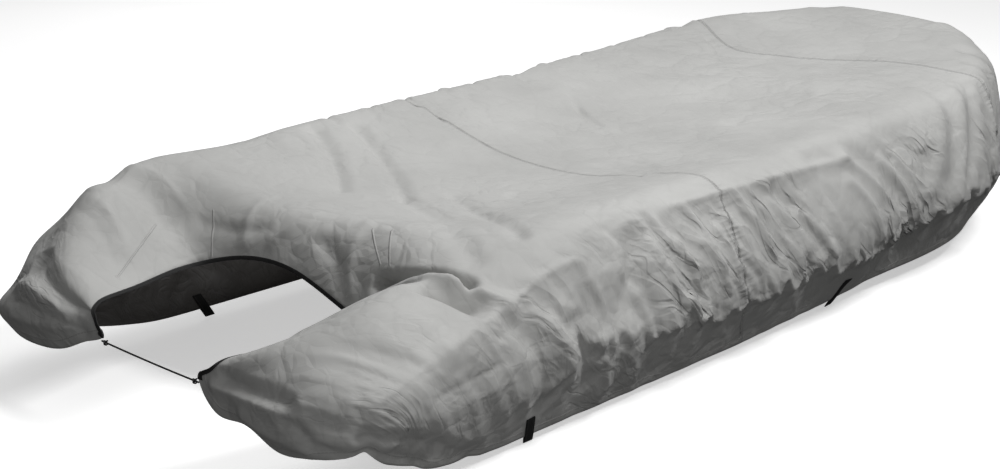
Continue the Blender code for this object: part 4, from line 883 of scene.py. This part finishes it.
def coatedPolyesterFace():
    # Plain-woven polyester, coated on the back so it is stiff: matt with a faint silky sheen, sharp
    # little creases and crinkles in patches that stay in the coating, slightly uneven tone, and painted shade
    # darkening the creases, crinkles and seam grooves.
    # Its threads lie 0.4 mm apart, too fine to show, so the weave is drawn 2.5 mm apart.
    material, tree, shader = newMaterial("coated polyester face")
    place = addNode(tree, "TexCoord").outputs["Object"]
    cut = addNode(tree, "UVMap", uv_map="cloth")
    split = addNode(tree, "SeparateXYZ", {"Vector": cut}).outputs
    across = addNode(tree, "SeparateXYZ", {"Vector": place}).outputs["X"]
    named = {name: addNode(tree, "Attribute", attribute_name=name).outputs["Fac"]
             for name in ("crumple", "seamGap", "seamRun", "hemGap", "hemRun", "dartNear0", "dartAside0",
                          "dartNear1", "dartAside1")}

    # creases that run forward as they go down the side: ridges about 90 and 37 mm wide, and lines
    # about 125 and 53 mm apart
    around = addNode(tree, "Math", {0: split["X"]}, operation="ABSOLUTE")
    laid = addNode(tree, "CombineXYZ", {"X": around, "Y": split["Y"], "Z": across})
    sway = addNode(tree, "TexNoise", {"Vector": laid, "Scale": 4.0, "Detail": 1.0}).outputs["Color"]
    sway = addNode(tree, "VectorMath", {0: sway, 1: (0.12, 0.12, 0.0)}, operation="MULTIPLY")
    laid = addNode(tree, "VectorMath", {0: laid, 1: sway}, operation="ADD")
    leant = addNode(tree, "VectorRotate", {"Vector": laid, "Angle": slack["lean"]}, rotation_type="Z_AXIS")
    drawn = addNode(tree, "Mapping", {"Vector": leant, "Scale": (1.0, 0.22, 0.6)})
    ridges = [addNode(tree, "TexNoise", {"Vector": drawn, "Scale": scale, "Detail": 1.5, "Roughness": 0.5,
                                         "Offset": 1.0, "Gain": 1.0, "Distortion": 0.2},
                      noise_type="RIDGED_MULTIFRACTAL", normalize=False) for scale in (11.0, 27.0)]
    broken = addNode(tree, "TexNoise", {"Vector": drawn, "Scale": 15.0, "Detail": 1.0})
    broken = addNode(tree, "MapRange", {"Value": broken, "From Min": 0.42, "From Max": 0.56})
    creases = []
    for scale in (8.0, 19.0):
        swell = addNode(tree, "TexNoise", {"Vector": drawn, "Scale": scale, "Detail": 1.0})
        line = lineOf(tree, swell, 0.5, 0.045)
        for mask in (named["crumple"], broken):
            line = addNode(tree, "Math", {0: line, 1: mask}, operation="MULTIPLY")
        creases.append(line)

    # crinkles that lie every way, 125 and 48 mm across, and the patches in which they show
    bent = addNode(tree, "TexNoise", {"Vector": place, "Scale": 6.0, "Detail": 2.0}).outputs["Color"]
    bent = addNode(tree, "VectorMath", {0: bent, 1: (0.10, 0.10, 0.10)}, operation="MULTIPLY")
    bent = addNode(tree, "VectorMath", {0: bent, 1: place}, operation="ADD")
    facets = []
    for scale in (8.0, 21.0):
        rise = addNode(tree, "TexVoronoi", {"Vector": bent, "Scale": scale}, feature="DISTANCE_TO_EDGE")
        facets.append(addNode(tree, "MapRange", {"Value": rise, "From Max": 0.35}))
    small = addNode(tree, "Math", {0: facets[1], 1: 0.35}, operation="MULTIPLY")
    crinkles = addNode(tree, "Math", {0: facets[0], 1: small}, operation="ADD")
    crinkleField = addNode(tree, "TexNoise", {"Vector": place, "Scale": 1.9, "Detail": 2.0})
    patch = addNode(tree, "MapRange", {"Value": crinkleField, "From Min": 0.42, "From Max": 0.66,
                                       "To Min": 0.32, "To Max": 0.85})

    # seams, drawn in more where the cloth is crumpled, and darts
    tight = addNode(tree, "TexNoise", {"Vector": place, "Scale": 22.0, "Detail": 2.0})
    tight = addNode(tree, "MapRange", {"Value": tight, "From Min": 0.35, "From Max": 0.65, "To Min": 0.05})
    strained = addNode(tree, "MapRange", {"Value": named["crumple"], "From Max": 0.4, "To Min": 0.2})
    groove = lineOf(tree, named["seamGap"], 0.0, sewing["groove"])
    for mask in (tight, strained):
        groove = addNode(tree, "Math", {0: groove, 1: mask}, operation="MULTIPLY")
    dartRidges = []
    for number in "01":
        near, aside = named["dartNear" + number], named["dartAside" + number]
        off = addNode(tree, "Math", {0: aside, 1: near}, operation="DIVIDE")
        shown = addNode(tree, "Math", {0: near, 1: 0.5}, operation="GREATER_THAN")
        line = lineOf(tree, off, 0.0, sewing["groove"])
        dartRidges.append(addNode(tree, "Math", {0: line, 1: shown}, operation="MULTIPLY"))
    darted = addNode(tree, "Math", {0: dartRidges[0], 1: dartRidges[1]}, operation="MAXIMUM")

    # stitches beside the seams and along the hem, the step of the hem, and puckers at the seams
    rows = []
    for line, off in (("seam", sewing["beside"]), ("hem", sewing["hemWidth"])):
        thread = lineOf(tree, named[line + "Gap"], off, sewing["thread"])
        rows.append(stitchesOn(tree, thread, named[line + "Run"], sewing["pitch"]))
    threads = addNode(tree, "Math", {0: rows[0], 1: rows[1]}, operation="MAXIMUM")
    hemStep = addNode(tree, "MapRange", {"Value": named["hemGap"], "To Min": 1.0, "To Max": 0.0,
                                         "From Min": sewing["hemWidth"] + 0.001,
                                         "From Max": sewing["hemWidth"] + 0.005})
    puckers = addNode(tree, "CombineXYZ", {"X": named["seamRun"], "Y": named["seamGap"]})
    puckers = addNode(tree, "Mapping", {"Vector": puckers, "Scale": (60.0, 9.0, 1.0)})
    puckers = addNode(tree, "TexNoise", {"Vector": puckers, "Scale": 1.0, "Detail": 1.0})
    nearSeam = addNode(tree, "MapRange", {"Value": named["seamGap"], "From Min": 0.003, "From Max": 0.045,
                                          "To Min": 1.0, "To Max": 0.0})

    # tone: two near greys, then each darker tone over the last
    tone = addNode(tree, "TexNoise", {"Vector": place, "Scale": 2.6, "Detail": 5.0, "Roughness": 0.62})
    toned = addNode(tree, "ValToRGB", {"Fac": tone})
    for stop, at, colour in zip(toned.color_ramp.elements, (0.32, 0.70), ("#ACACAA", "#B9B9B7")):
        stop.position, stop.color = at, linear(colour)
    # painted shade: the crinkles' edges are darkened, in the patches where the crinkles show
    paintedCrinkleShade = addNode(tree, "MapRange", {"Value": crinkles, "From Min": 0.0, "From Max": 0.30,
                                         "To Min": 0.20, "To Max": 0.0})
    # painted shade: the crinkles, the long creases and the seam grooves are darkened; the stitches are the
    # thread's own grey
    for shown, share, colour in ((paintedCrinkleShade, patch, "#8C8C8A"), (creases[0], 0.22, "#6E6E6C"),
                                 (groove, 0.30, "#4E4E4C"), (threads, 0.30, "#6E6E6C")):
        share = addNode(tree, "Math", {0: shown, 1: share}, operation="MULTIPLY")
        toned = addNode(tree, "MixRGB", {"Fac": share, "Color1": toned, "Color2": linear(colour)})
    rough = addNode(tree, "MapRange", {"Value": tone, "From Min": 0.3, "From Max": 0.7,
                                       "To Min": 0.60, "To Max": 0.72})

    warp, weft = (addNode(tree, "TexWave", {"Vector": cut, "Scale": math.pi / 10.0 / sewing["weave"]},
                          bands_direction=way).outputs["Fac"] for way in "XY")
    relief = (
        # height, where it shows, strength, metres deep, pressed in
        (ridges[0], named["crumple"], 1.0, 0.0080, False),
        (ridges[1], named["crumple"], 1.0, 0.0052, False),
        (creases[0], None, 1.0, 0.0070, True),
        (creases[1], None, 1.0, 0.0046, True),
        (crinkles, patch, 1.0, 0.0050, False),
        (puckers, nearSeam, 1.0, 0.006, False),
        (hemStep, None, 1.0, 0.0012, False),
        (groove, None, 1.0, 0.0016, True),
        (darted, None, 1.0, 0.0020, False),
        (threads, None, 1.0, 0.0006, False),
        (warp, weft, 0.35, 0.0002, False),
    )
    under = {}
    for height, mask, strength, deep, pressed in relief:
        if mask is not None:
            height = addNode(tree, "Math", {0: height, 1: mask}, operation="MULTIPLY")
        bump = {"Height": height, "Strength": strength, "Distance": deep, **under}
        under = {"Normal": addNode(tree, "Bump", bump, invert=pressed)}
    fillSockets(tree, shader, {"Base Color": toned, "Roughness": rough, "Specular IOR Level": 0.35,
                               "Sheen Weight": 0.12, "Sheen Roughness": 0.5, **under})
    return material


def coatedPolyesterBack():
    # The dark coating on the inside: even and a little rubbery, so it takes soft dull highlights,
    # with the weave printed faintly through it.
    material, tree, shader = newMaterial("dark coating on the polyester")
    place = addNode(tree, "TexCoord").outputs["Object"]
    cut = addNode(tree, "UVMap", uv_map="cloth")
    patches = addNode(tree, "TexNoise", {"Vector": place, "Scale": 5.0, "Detail": 3.0})
    greys = addNode(tree, "ValToRGB", {"Fac": patches})
    for stop, at, colour in zip(greys.color_ramp.elements, (0.3, 0.7), ("#4E4C4A", "#5A5856")):
        stop.position, stop.color = at, linear(colour)
    crinkles = addNode(tree, "TexNoise", {"Vector": place, "Scale": 13.0, "Detail": 4.0, "Roughness": 0.6,
                                          "Offset": 0.95, "Gain": 1.4, "Distortion": 0.8},
                       noise_type="RIDGED_MULTIFRACTAL", normalize=True)
    bump = addNode(tree, "Bump", {"Height": crinkles, "Strength": 1.0, "Distance": 0.002})
    warp = addNode(tree, "TexWave", {"Vector": cut, "Scale": math.pi / 10.0 / sewing["weave"]},
                   bands_direction="X").outputs["Fac"]
    bump = addNode(tree, "Bump", {"Height": warp, "Strength": 0.3, "Distance": 0.0001, "Normal": bump})
    fillSockets(tree, shader, {"Base Color": greys, "Normal": bump, "Roughness": 0.55})
    return material


def blackTape(name, rib, rows):
    # Polyester dyed black in the thread and woven narrow: matt, ribbed across, greyer along its worn
    # ribs. Ribs 0.6 mm apart are drawn as far apart as rib says, so that they show. rows are the
    # stitched lines, in metres off the start of the UV's second axis.
    material, tree, shader = newMaterial(name)
    place = addNode(tree, "TexCoord").outputs["Object"]
    split = addNode(tree, "SeparateXYZ", {"Vector": addNode(tree, "UVMap", uv_map="cloth")}).outputs
    ribs = addNode(tree, "Math", {0: split["X"], 1: 2.0 * math.pi / rib}, operation="MULTIPLY")
    ribs = addNode(tree, "Math", {0: ribs}, operation="SINE")
    worn = addNode(tree, "TexNoise", {"Vector": place, "Scale": 90.0, "Detail": 3.0})
    raised = addNode(tree, "MapRange", {"Value": ribs, "From Min": -1.0})
    shade = addNode(tree, "Math", {0: worn, 1: raised}, operation="MULTIPLY")
    toned = addNode(tree, "ValToRGB", {"Fac": shade})
    for stop, at, colour in zip(toned.color_ramp.elements, (0.15, 0.75), ("#0E0E0E", "#1E1E1E")):
        stop.position, stop.color = at, linear(colour)
    bump = addNode(tree, "Bump", {"Height": ribs, "Strength": 0.6, "Distance": 0.0003})
    for at in rows:
        line = lineOf(tree, split["Y"], at, sewing["tapeThread"])
        line = stitchesOn(tree, line, split["X"], sewing["tapePitch"])
        toned = addNode(tree, "MixRGB", {"Fac": line, "Color1": toned, "Color2": linear("#3C3C3C")})
        bump = addNode(tree, "Bump", {"Height": line, "Strength": 1.0, "Distance": 0.0005, "Normal": bump})
    fillSockets(tree, shader, {"Base Color": toned, "Normal": bump, "Roughness": 0.78})
    return material


def braidedElastic():
    # Rubber strands in a braided black polyester cover: a fine diamond pattern with a soft gloss.
    # The braid's 1 mm strands are drawn 1.6 mm wide.
    material, tree, shader = newMaterial("braided cover of elastic cord")
    split = addNode(tree, "SeparateXYZ", {"Vector": addNode(tree, "UVMap", uv_map="cloth")}).outputs
    turns = []
    for way in ("ADD", "SUBTRACT"):
        skew = addNode(tree, "Math", {0: split["X"], 1: split["Y"]}, operation=way)
        skew = addNode(tree, "Math", {0: skew, 1: math.pi / 0.0016}, operation="MULTIPLY")
        turns.append(addNode(tree, "Math", {0: skew}, operation="SINE"))
    strands = addNode(tree, "Math", {0: turns[0], 1: turns[1]}, operation="MULTIPLY")
    greys = addNode(tree, "ValToRGB", {"Fac": strands})
    for stop, colour in zip(greys.color_ramp.elements, ("#0E0E0E", "#262626")):
        stop.color = linear(colour)
    bump = addNode(tree, "Bump", {"Height": strands, "Strength": 0.8, "Distance": 0.0003})
    fillSockets(tree, shader, {"Base Color": greys, "Normal": bump, "Roughness": 0.6})
    return material


face, back = coatedPolyesterFace(), coatedPolyesterBack()
bindingFinish = blackTape("bias tape of woven polyester", 0.0024, (0.0030,))
tabFinish = blackTape("narrow polyester tape", 0.0020, (0.0040,))
webbingFinish = blackTape("flat polyester webbing", 0.0030, (0.008, 0.028))
elasticFinish = braidedElastic()

hemGap, hemRun = nearestOn(vertices, smoothed(vertices[hemLine], rounds=1))
seams = [nearestOn(vertices, vertices[line]) for line in seamLines]
nearFirst = seams[0][0] < seams[1][0]
seamGap, seamRun = (np.where(nearFirst, *pair) for pair in zip(*seams))
onCloth = {"crumple": crumple, "seamGap": seamGap, "seamRun": seamRun, "hemGap": hemGap, "hemRun": hemRun}
for number in (0, 1):
    onCloth[f"dartNear{number}"], onCloth[f"dartAside{number}"] = dartLines(vertices, quads, number)
for number, name in enumerate(("panel_stern", "panel_middle", "panel_bow")):
    own = quads[widths == number]
    used = np.unique(own)
    renumber = np.full(len(vertices), -1)
    renumber[used] = np.arange(len(used))
    placed = vertices.copy()
    for start, end in openEdges(own) - wholeRim:
        for vertex in (start, end):
            near = np.unique(own[(own == vertex).any(axis=1)])
            into = vertices[near].mean(axis=0) - vertices[vertex]
            placed[vertex] = vertices[vertex] + into / np.linalg.norm(into) * cloth["seamGap"]
    made = addObject("cloth_" + name, placed[used], renumber[own], (face, back))
    for attribute, values in onCloth.items():
        giveAttribute(made.data, attribute, values[used])
    sideFaces = flat[own][:, :, 1].mean(axis=1) > onTop
    giveUv(made.data, np.where(sideFaces[:, None, None], flat[own], vertices[own][:, :, :2]))
    wall = made.modifiers.new("cloth thickness", "SOLIDIFY")
    wall.thickness, wall.offset = cloth["thickness"], -1.0
    wall.use_rim, wall.material_offset, wall.material_offset_rim = True, 1, 0
    applyModifiers(made)
    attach(made, "root")
    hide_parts(name)
print("three widths of cloth made")


sharpFrom = 50.0          # degrees past which the edge of a swept piece stays sharp


def sweep(name, rings, material):
    # skin over a row of equal rings, with metres along and round them as its UV
    rings = np.array(rings)
    count, size = rings.shape[:2]
    closed = np.concatenate([rings, rings[:, :1]], axis=1)
    run, around = distanceAlong(rings.mean(axis=1)), distanceAlong(closed[count // 2])
    faces, corners = gridFaces(count, size, run, around, closed=True)
    for ring, order in ((0, range(size)[::-1]), (count - 1, range(size))):
        faces.append([ring * size + step for step in order])
        corners += [(run[ring], around[step]) for step in order]
    made = addObject(name, rings.reshape(-1, 3), faces, (material,))
    giveUv(made.data, corners)
    selectOnly(made)
    bpy.ops.object.mode_set(mode="EDIT")
    bpy.ops.mesh.select_all(action="SELECT")
    bpy.ops.mesh.normals_make_consistent(inside=False)
    bpy.ops.object.mode_set(mode="OBJECT")
    bpy.ops.object.shade_smooth_by_angle(angle=math.radians(sharpFrom))
    made.select_set(False)
    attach(made, "root")
    return made


# In metres: how far the tape reaches onto the cloth, its air off the cloth, and its wall.
binding = {"width": 0.010, "clear": 0.0003, "wall": 0.0009}
rim = smoothed(vertices[arc], rounds=2)
arcNormals = unit(smoothed(normals[arc], rounds=4))
inward = unit(np.cross(arcNormals, unit(np.gradient(rim, axis=0))))
inward *= -1.0 if inward[len(arc) // 2][1] < 0.0 else 1.0   # the cloth lies forward of the cut-out


bendPoints = {"outside": 7, "inside": 5}


def foldedRing(step, width, gap, wall):
    # section of a tape folded over the edge of the cloth
    at, into, out = rim[step], inward[step], arcNormals[step]
    high, low = gap + wall, cloth["thickness"] + gap + wall
    centre, radius = (high - low) / 2.0, (high + low) / 2.0

    def bent(size, turns):
        return [at + out * (centre + size * math.cos(turn)) - into * size * math.sin(turn) for turn in turns]

    return [at + into * width + out * gap, at + into * width + out * high,
            *bent(radius, np.linspace(0.0, math.pi, bendPoints["outside"])),
            at + into * width - out * low, at + into * width - out * (low - wall),
            *bent(radius - wall, np.linspace(math.pi, 0.0, bendPoints["inside"]))]


bindingTape = sweep("binding_tape", [foldedRing(step, binding["width"], binding["clear"], binding["wall"])
                                     for step in range(len(arc))], bindingFinish)
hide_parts("cutout_binding")

# In metres: each tab's length along the edge, how far it reaches onto the cloth, and its wall. At its
# tip it has this share of its width, and the root adds the rest.
tabs = {"reach": 0.024, "width": 0.016, "tipShare": 0.8, "rootAdds": 0.2, "wall": 0.0014}
travelled = distanceAlong(rim)
for sideName, steps in (("port", np.nonzero(travelled < tabs["reach"])[0]),
                        ("starboard", np.nonzero(travelled > travelled[-1] - tabs["reach"])[0][::-1])):
    gap = binding["clear"] * 2 + binding["wall"]
    shares = tabs["tipShare"] + tabs["rootAdds"] * np.linspace(1.0, 0.0, len(steps))
    rings = [foldedRing(step, tabs["width"] * share, gap, tabs["wall"]) for step, share in zip(steps, shares)]
    sweep("tape_tab_" + sideName, rings, tabFinish)
    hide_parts("cord_tab_" + sideName)
print("cut-out bound, tabs folded on")

# The cord is taut from tab to tab. A knot lies so far in from each end, and its strand's radius is a
# share of its size.
cord = {"start": (-0.1984, -1.7766, 0.2424), "end": (0.2021, -1.7755, 0.2421), "length": 0.4005,
        "sag": 0.002, "diameter": 0.005, "points": 60, "sides": 12}
knot = {"in": 0.016, "size": 0.0023, "thick": 0.9, "points": 60, "sides": 8}


def tubeRings(path, radius, sides):
    path = np.array(path)
    ahead = unit(np.gradient(path, axis=0))
    aside = np.cross(ahead[0], (0.1, 0.2, 1.0))      # any way but the cord's own
    rings = []
    for spot, way in zip(path, ahead):
        aside = aside - (aside @ way) * way
        aside /= np.linalg.norm(aside)
        above = np.cross(way, aside)
        rings.append([spot + radius * (math.cos(turn) * aside + math.sin(turn) * above)
                      for turn in np.linspace(0.0, 2.0 * math.pi, sides, endpoint=False)])
    return np.array(rings) - sternInFrame      # the cord's points are already in the frame


def cordPoint(share):
    start, end = np.array(cord["start"]), np.array(cord["end"])
    return start * (1 - share) + end * share - np.array((0.0, 0.0, 4 * cord["sag"] * share * (1 - share)))


cordPath = [cordPoint(share) for share in np.linspace(0.0, 1.0, cord["points"])]
cordPiece = sweep("elastic_cord", tubeRings(cordPath, cord["diameter"] / 2, cord["sides"]), elasticFinish)
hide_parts("stern_cord")
knotShare = knot["in"] / cord["length"]
for sideName, share in (("port", knotShare), ("starboard", 1.0 - knotShare)):
    # a trefoil about the line of the cord
    knotPath = [cordPoint(share) + knot["size"] * np.array((-math.sin(3 * turn) * 1.3,
                                                            math.sin(turn) + 2 * math.sin(2 * turn),
                                                            math.cos(turn) - 2 * math.cos(2 * turn)))
                for turn in np.linspace(0.0, 2.0 * math.pi, knot["points"] + 1)[:-1]]
    rings = tubeRings(knotPath, knot["size"] * knot["thick"], knot["sides"])
    sweep("cord_knot_" + sideName, rings, elasticFinish)


strapLoops = (
    # name, metres from the stern, lean aft of the free end, width of the webbing
    ("aft", 0.678, -0.040, 0.036),
    ("fore", 2.175, 0.040, 0.034),
)
# In metres: the webbing's wall, its air off the cloth, how low the cloth's face is felt for, how far up
# the two legs reach and how far the fold hangs below the hem, where the legs begin, and how far about
# each point and how far off the cloth its face is felt for. Then how round the fold is, how near its
# two ends count as the hem, and into how many strips and rows of points the webbing is divided.
loopShape = {"wall": 0.0014, "clear": 0.0008, "foot": 0.006, "outer": 0.076, "inner": 0.045, "drop": 0.028,
             "legFrom": 0.004, "around": 0.006, "off": 0.05, "round": 0.6, "end": 0.04,
             "strips": 6, "outerRows": 12, "foldRows": 9, "innerRows": 7}
skinOut = BVHTree.FromPolygons(vertices.tolist(), quads.tolist())
skinIn = BVHTree.FromPolygons((vertices - normals * cloth["thickness"]).tolist(), quads.tolist())
outerRim = vertices[hemLine]


def strapLoop(name, side, y, lean, width):
    # webbing folded double over the hem: down the outside, round below it and up the inside
    away = np.where(outerRim[:, 0] * side < 0.0, np.inf, np.abs(outerRim[:, 1] - y))
    spot = outerRim[np.argmin(away)]
    normal = np.array(skinOut.find_nearest(Vector(spot))[1])
    up = np.cross(normal, (0.0, 1.0, 0.0))
    up *= math.copysign(1.0, up[2]) / np.linalg.norm(up)
    across = np.cross(up, normal)
    aft = -1.0 if across[1] > 0.0 else 1.0

    def slanted(u, shift):
        return shift + aft * lean * (loopShape["outer"] - u) / (loopShape["outer"] + loopShape["drop"])

    def level(skin, sign, u, shift):
        heights, near = [], loopShape["around"]
        for du, ds in ((0.0, 0.0), (near, 0.0), (-near, 0.0), (0.0, near), (0.0, -near)):
            guess = spot + up * max(u + du, loopShape["foot"]) + across * (slanted(u, shift) + ds)
            source = Vector(guess + normal * sign * loopShape["off"])
            hit = skin.ray_cast(source, Vector(-normal * sign), loopShape["off"] * 2.0)[0]
            if hit:
                heights.append(sign * ((np.array(hit) - guess) @ normal))
        return sign * (max(heights) + loopShape["clear"] + loopShape["wall"] / 2.0)

    shifts = [width * (step / loopShape["strips"] - 0.5) for step in range(loopShape["strips"] + 1)]
    rows = [[(u, level(skinOut, 1.0, u, shift)) for shift in shifts]
            for u in np.linspace(loopShape["outer"], loopShape["legFrom"], loopShape["outerRows"])]
    turn = [(level(skinOut, 1.0, 0.0, shift), level(skinIn, -1.0, 0.0, shift)) for shift in shifts]
    for share in np.linspace(0.0, 1.0, loopShape["foldRows"]):
        within = min(max(share, loopShape["end"]), 1.0 - loopShape["end"])
        below = math.sin(math.pi * within) ** loopShape["round"]
        rows.append([(-loopShape["drop"] * below, out + (into - out) * (1 - math.cos(math.pi * share)) / 2)
                     for out, into in turn])
    rows += [[(u, level(skinIn, -1.0, u, shift)) for shift in shifts]
             for u in np.linspace(loopShape["legFrom"], loopShape["inner"], loopShape["innerRows"])]
    grid = np.array([[spot + up * u + across * slanted(u, shift) + normal * height
                      for shift, (u, height) in zip(shifts, row)] for row in rows])
    aside = [shift + width / 2 for shift in shifts]
    run = distanceAlong(grid[:, loopShape["strips"] // 2])
    faces, corners = gridFaces(len(rows), len(shifts), run, aside)
    made = addObject(name, grid.reshape(-1, 3), faces, (webbingFinish,))
    giveUv(made.data, corners)
    wall = made.modifiers.new("webbing thickness", "SOLIDIFY")
    wall.thickness, wall.offset = loopShape["wall"], 0.0
    soft = made.modifiers.new("soft edges", "SUBSURF")
    soft.levels = soft.render_levels = 1
    applyModifiers(made)
    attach(made, "root")
    return made


loops = {"aft": [], "fore": []}
for side, sideName in ((port, "port"), (starboard, "starboard")):
    for place, y, lean, width in strapLoops:
        loops[place].append(strapLoop(f"webbing_loop_{sideName}_{place}", side, y, lean, width))
        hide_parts(f"strap_loop_{sideName}_{place}")
print("cord, knots and strap loops made")


middleOfCover = (0.0, -0.05, 0.3)
studioLights = (
    # name, place, size in metres, watts, what it faces
    ("ceiling_softbox", (-0.6, 0.4, 4.4), 2.4, 76, middleOfCover),
    ("side_softbox", (3.0, 0.4, 4.7), 1.4, 172, middleOfCover),
    ("fill_softbox", (4.0, -3.4, 0.8), 1.6, 27, middleOfCover),
    ("port_softbox", (-4.2, 2.4, 2.2), 2.4, 18, middleOfCover),
    ("light_under_the_cover", (0.0, -0.8, 0.03), 0.9, 4.5, (0.0, -0.8, 1.0)),
)


def softLight(name, at, size, power, aim):
    lamp = bpy.data.lights.new(name, "AREA")
    lamp.shape, lamp.size, lamp.energy = "SQUARE", size, power
    held = putInScene(name, lamp)
    held.location = at
    held.visible_camera = False
    held.rotation_mode = "QUATERNION"
    held.rotation_quaternion = (Vector(at) - Vector(aim)).to_track_quat("Z", "Y")


# Metres across the floor and below the cover, the floor's glow, and the air's light below and above.
room = {"floor": 240.0, "below": 0.0025, "glow": 0.5, "dim": 0.05, "bright": 0.25}


def studio():
    # a pale floor that throws no light back up, and a room that is bright above and dim below
    bpy.ops.mesh.primitive_plane_add(size=room["floor"], location=(0, 0, cadBounds[0][2] - room["below"]))
    floor = bpy.context.active_object
    floor.name = "studio_floor"
    material, tree, shader = newMaterial("pale studio floor")
    fillSockets(tree, shader, {"Base Color": linear("#F4F4F4"), "Roughness": 0.9,
                               "Emission Color": linear("#FFFFFF"), "Emission Strength": room["glow"]})
    floor.data.materials.append(material)
    floor.visible_diffuse = floor.visible_glossy = False
    world = bpy.data.worlds.new("studio")
    bpy.context.scene.world = world
    world.use_nodes = True
    tree = world.node_tree
    split = addNode(tree, "SeparateXYZ", {"Vector": addNode(tree, "TexCoord").outputs["Generated"]})
    rising = addNode(tree, "MapRange", {"Value": split.outputs["Z"], "From Min": -0.10, "From Max": 0.9,
                                        "To Min": room["dim"], "To Max": room["bright"]},
                     interpolation_type="SMOOTHSTEP")
    fillSockets(tree, tree.nodes["Background"], {"Strength": rising, "Color": linear("#FFFFFF")})
    for light in studioLights:
        softLight(*light)


# Where the camera stands: degrees round from the stern, up and rolled, and metres off its aim. Its
# sensor and lens are in millimetres.
view = {"azimuth": 42.651, "elevation": 18.121, "roll": 1.03, "aim": (0.1515, -0.6217, 0.3554),
        "distance": 5.694, "sensor": 36.0, "lens": 70.58}


def camera():
    azimuth, elevation, roll = (math.radians(view[name]) for name in ("azimuth", "elevation", "roll"))
    away = Vector((math.sin(azimuth) * math.cos(elevation), -math.cos(azimuth) * math.cos(elevation),
                   math.sin(elevation)))
    right = Vector((math.cos(azimuth), math.sin(azimuth), 0.0))
    up = away.cross(right)
    right, up = (right * math.cos(roll) + up * math.sin(roll), up * math.cos(roll) - right * math.sin(roll))
    lens = bpy.data.cameras.new("camera")
    lens.sensor_width, lens.lens = view["sensor"], view["lens"]
    held = putInScene("camera", lens)
    turned = Matrix((right, up, away)).transposed().to_4x4()
    held.matrix_world = Matrix.Translation(Vector(view["aim"]) + away * view["distance"]) @ turned
    bpy.context.scene.camera = held


studio()
camera()
bpy.context.scene.view_settings.view_transform = "Standard"
print("studio lit, camera placed")
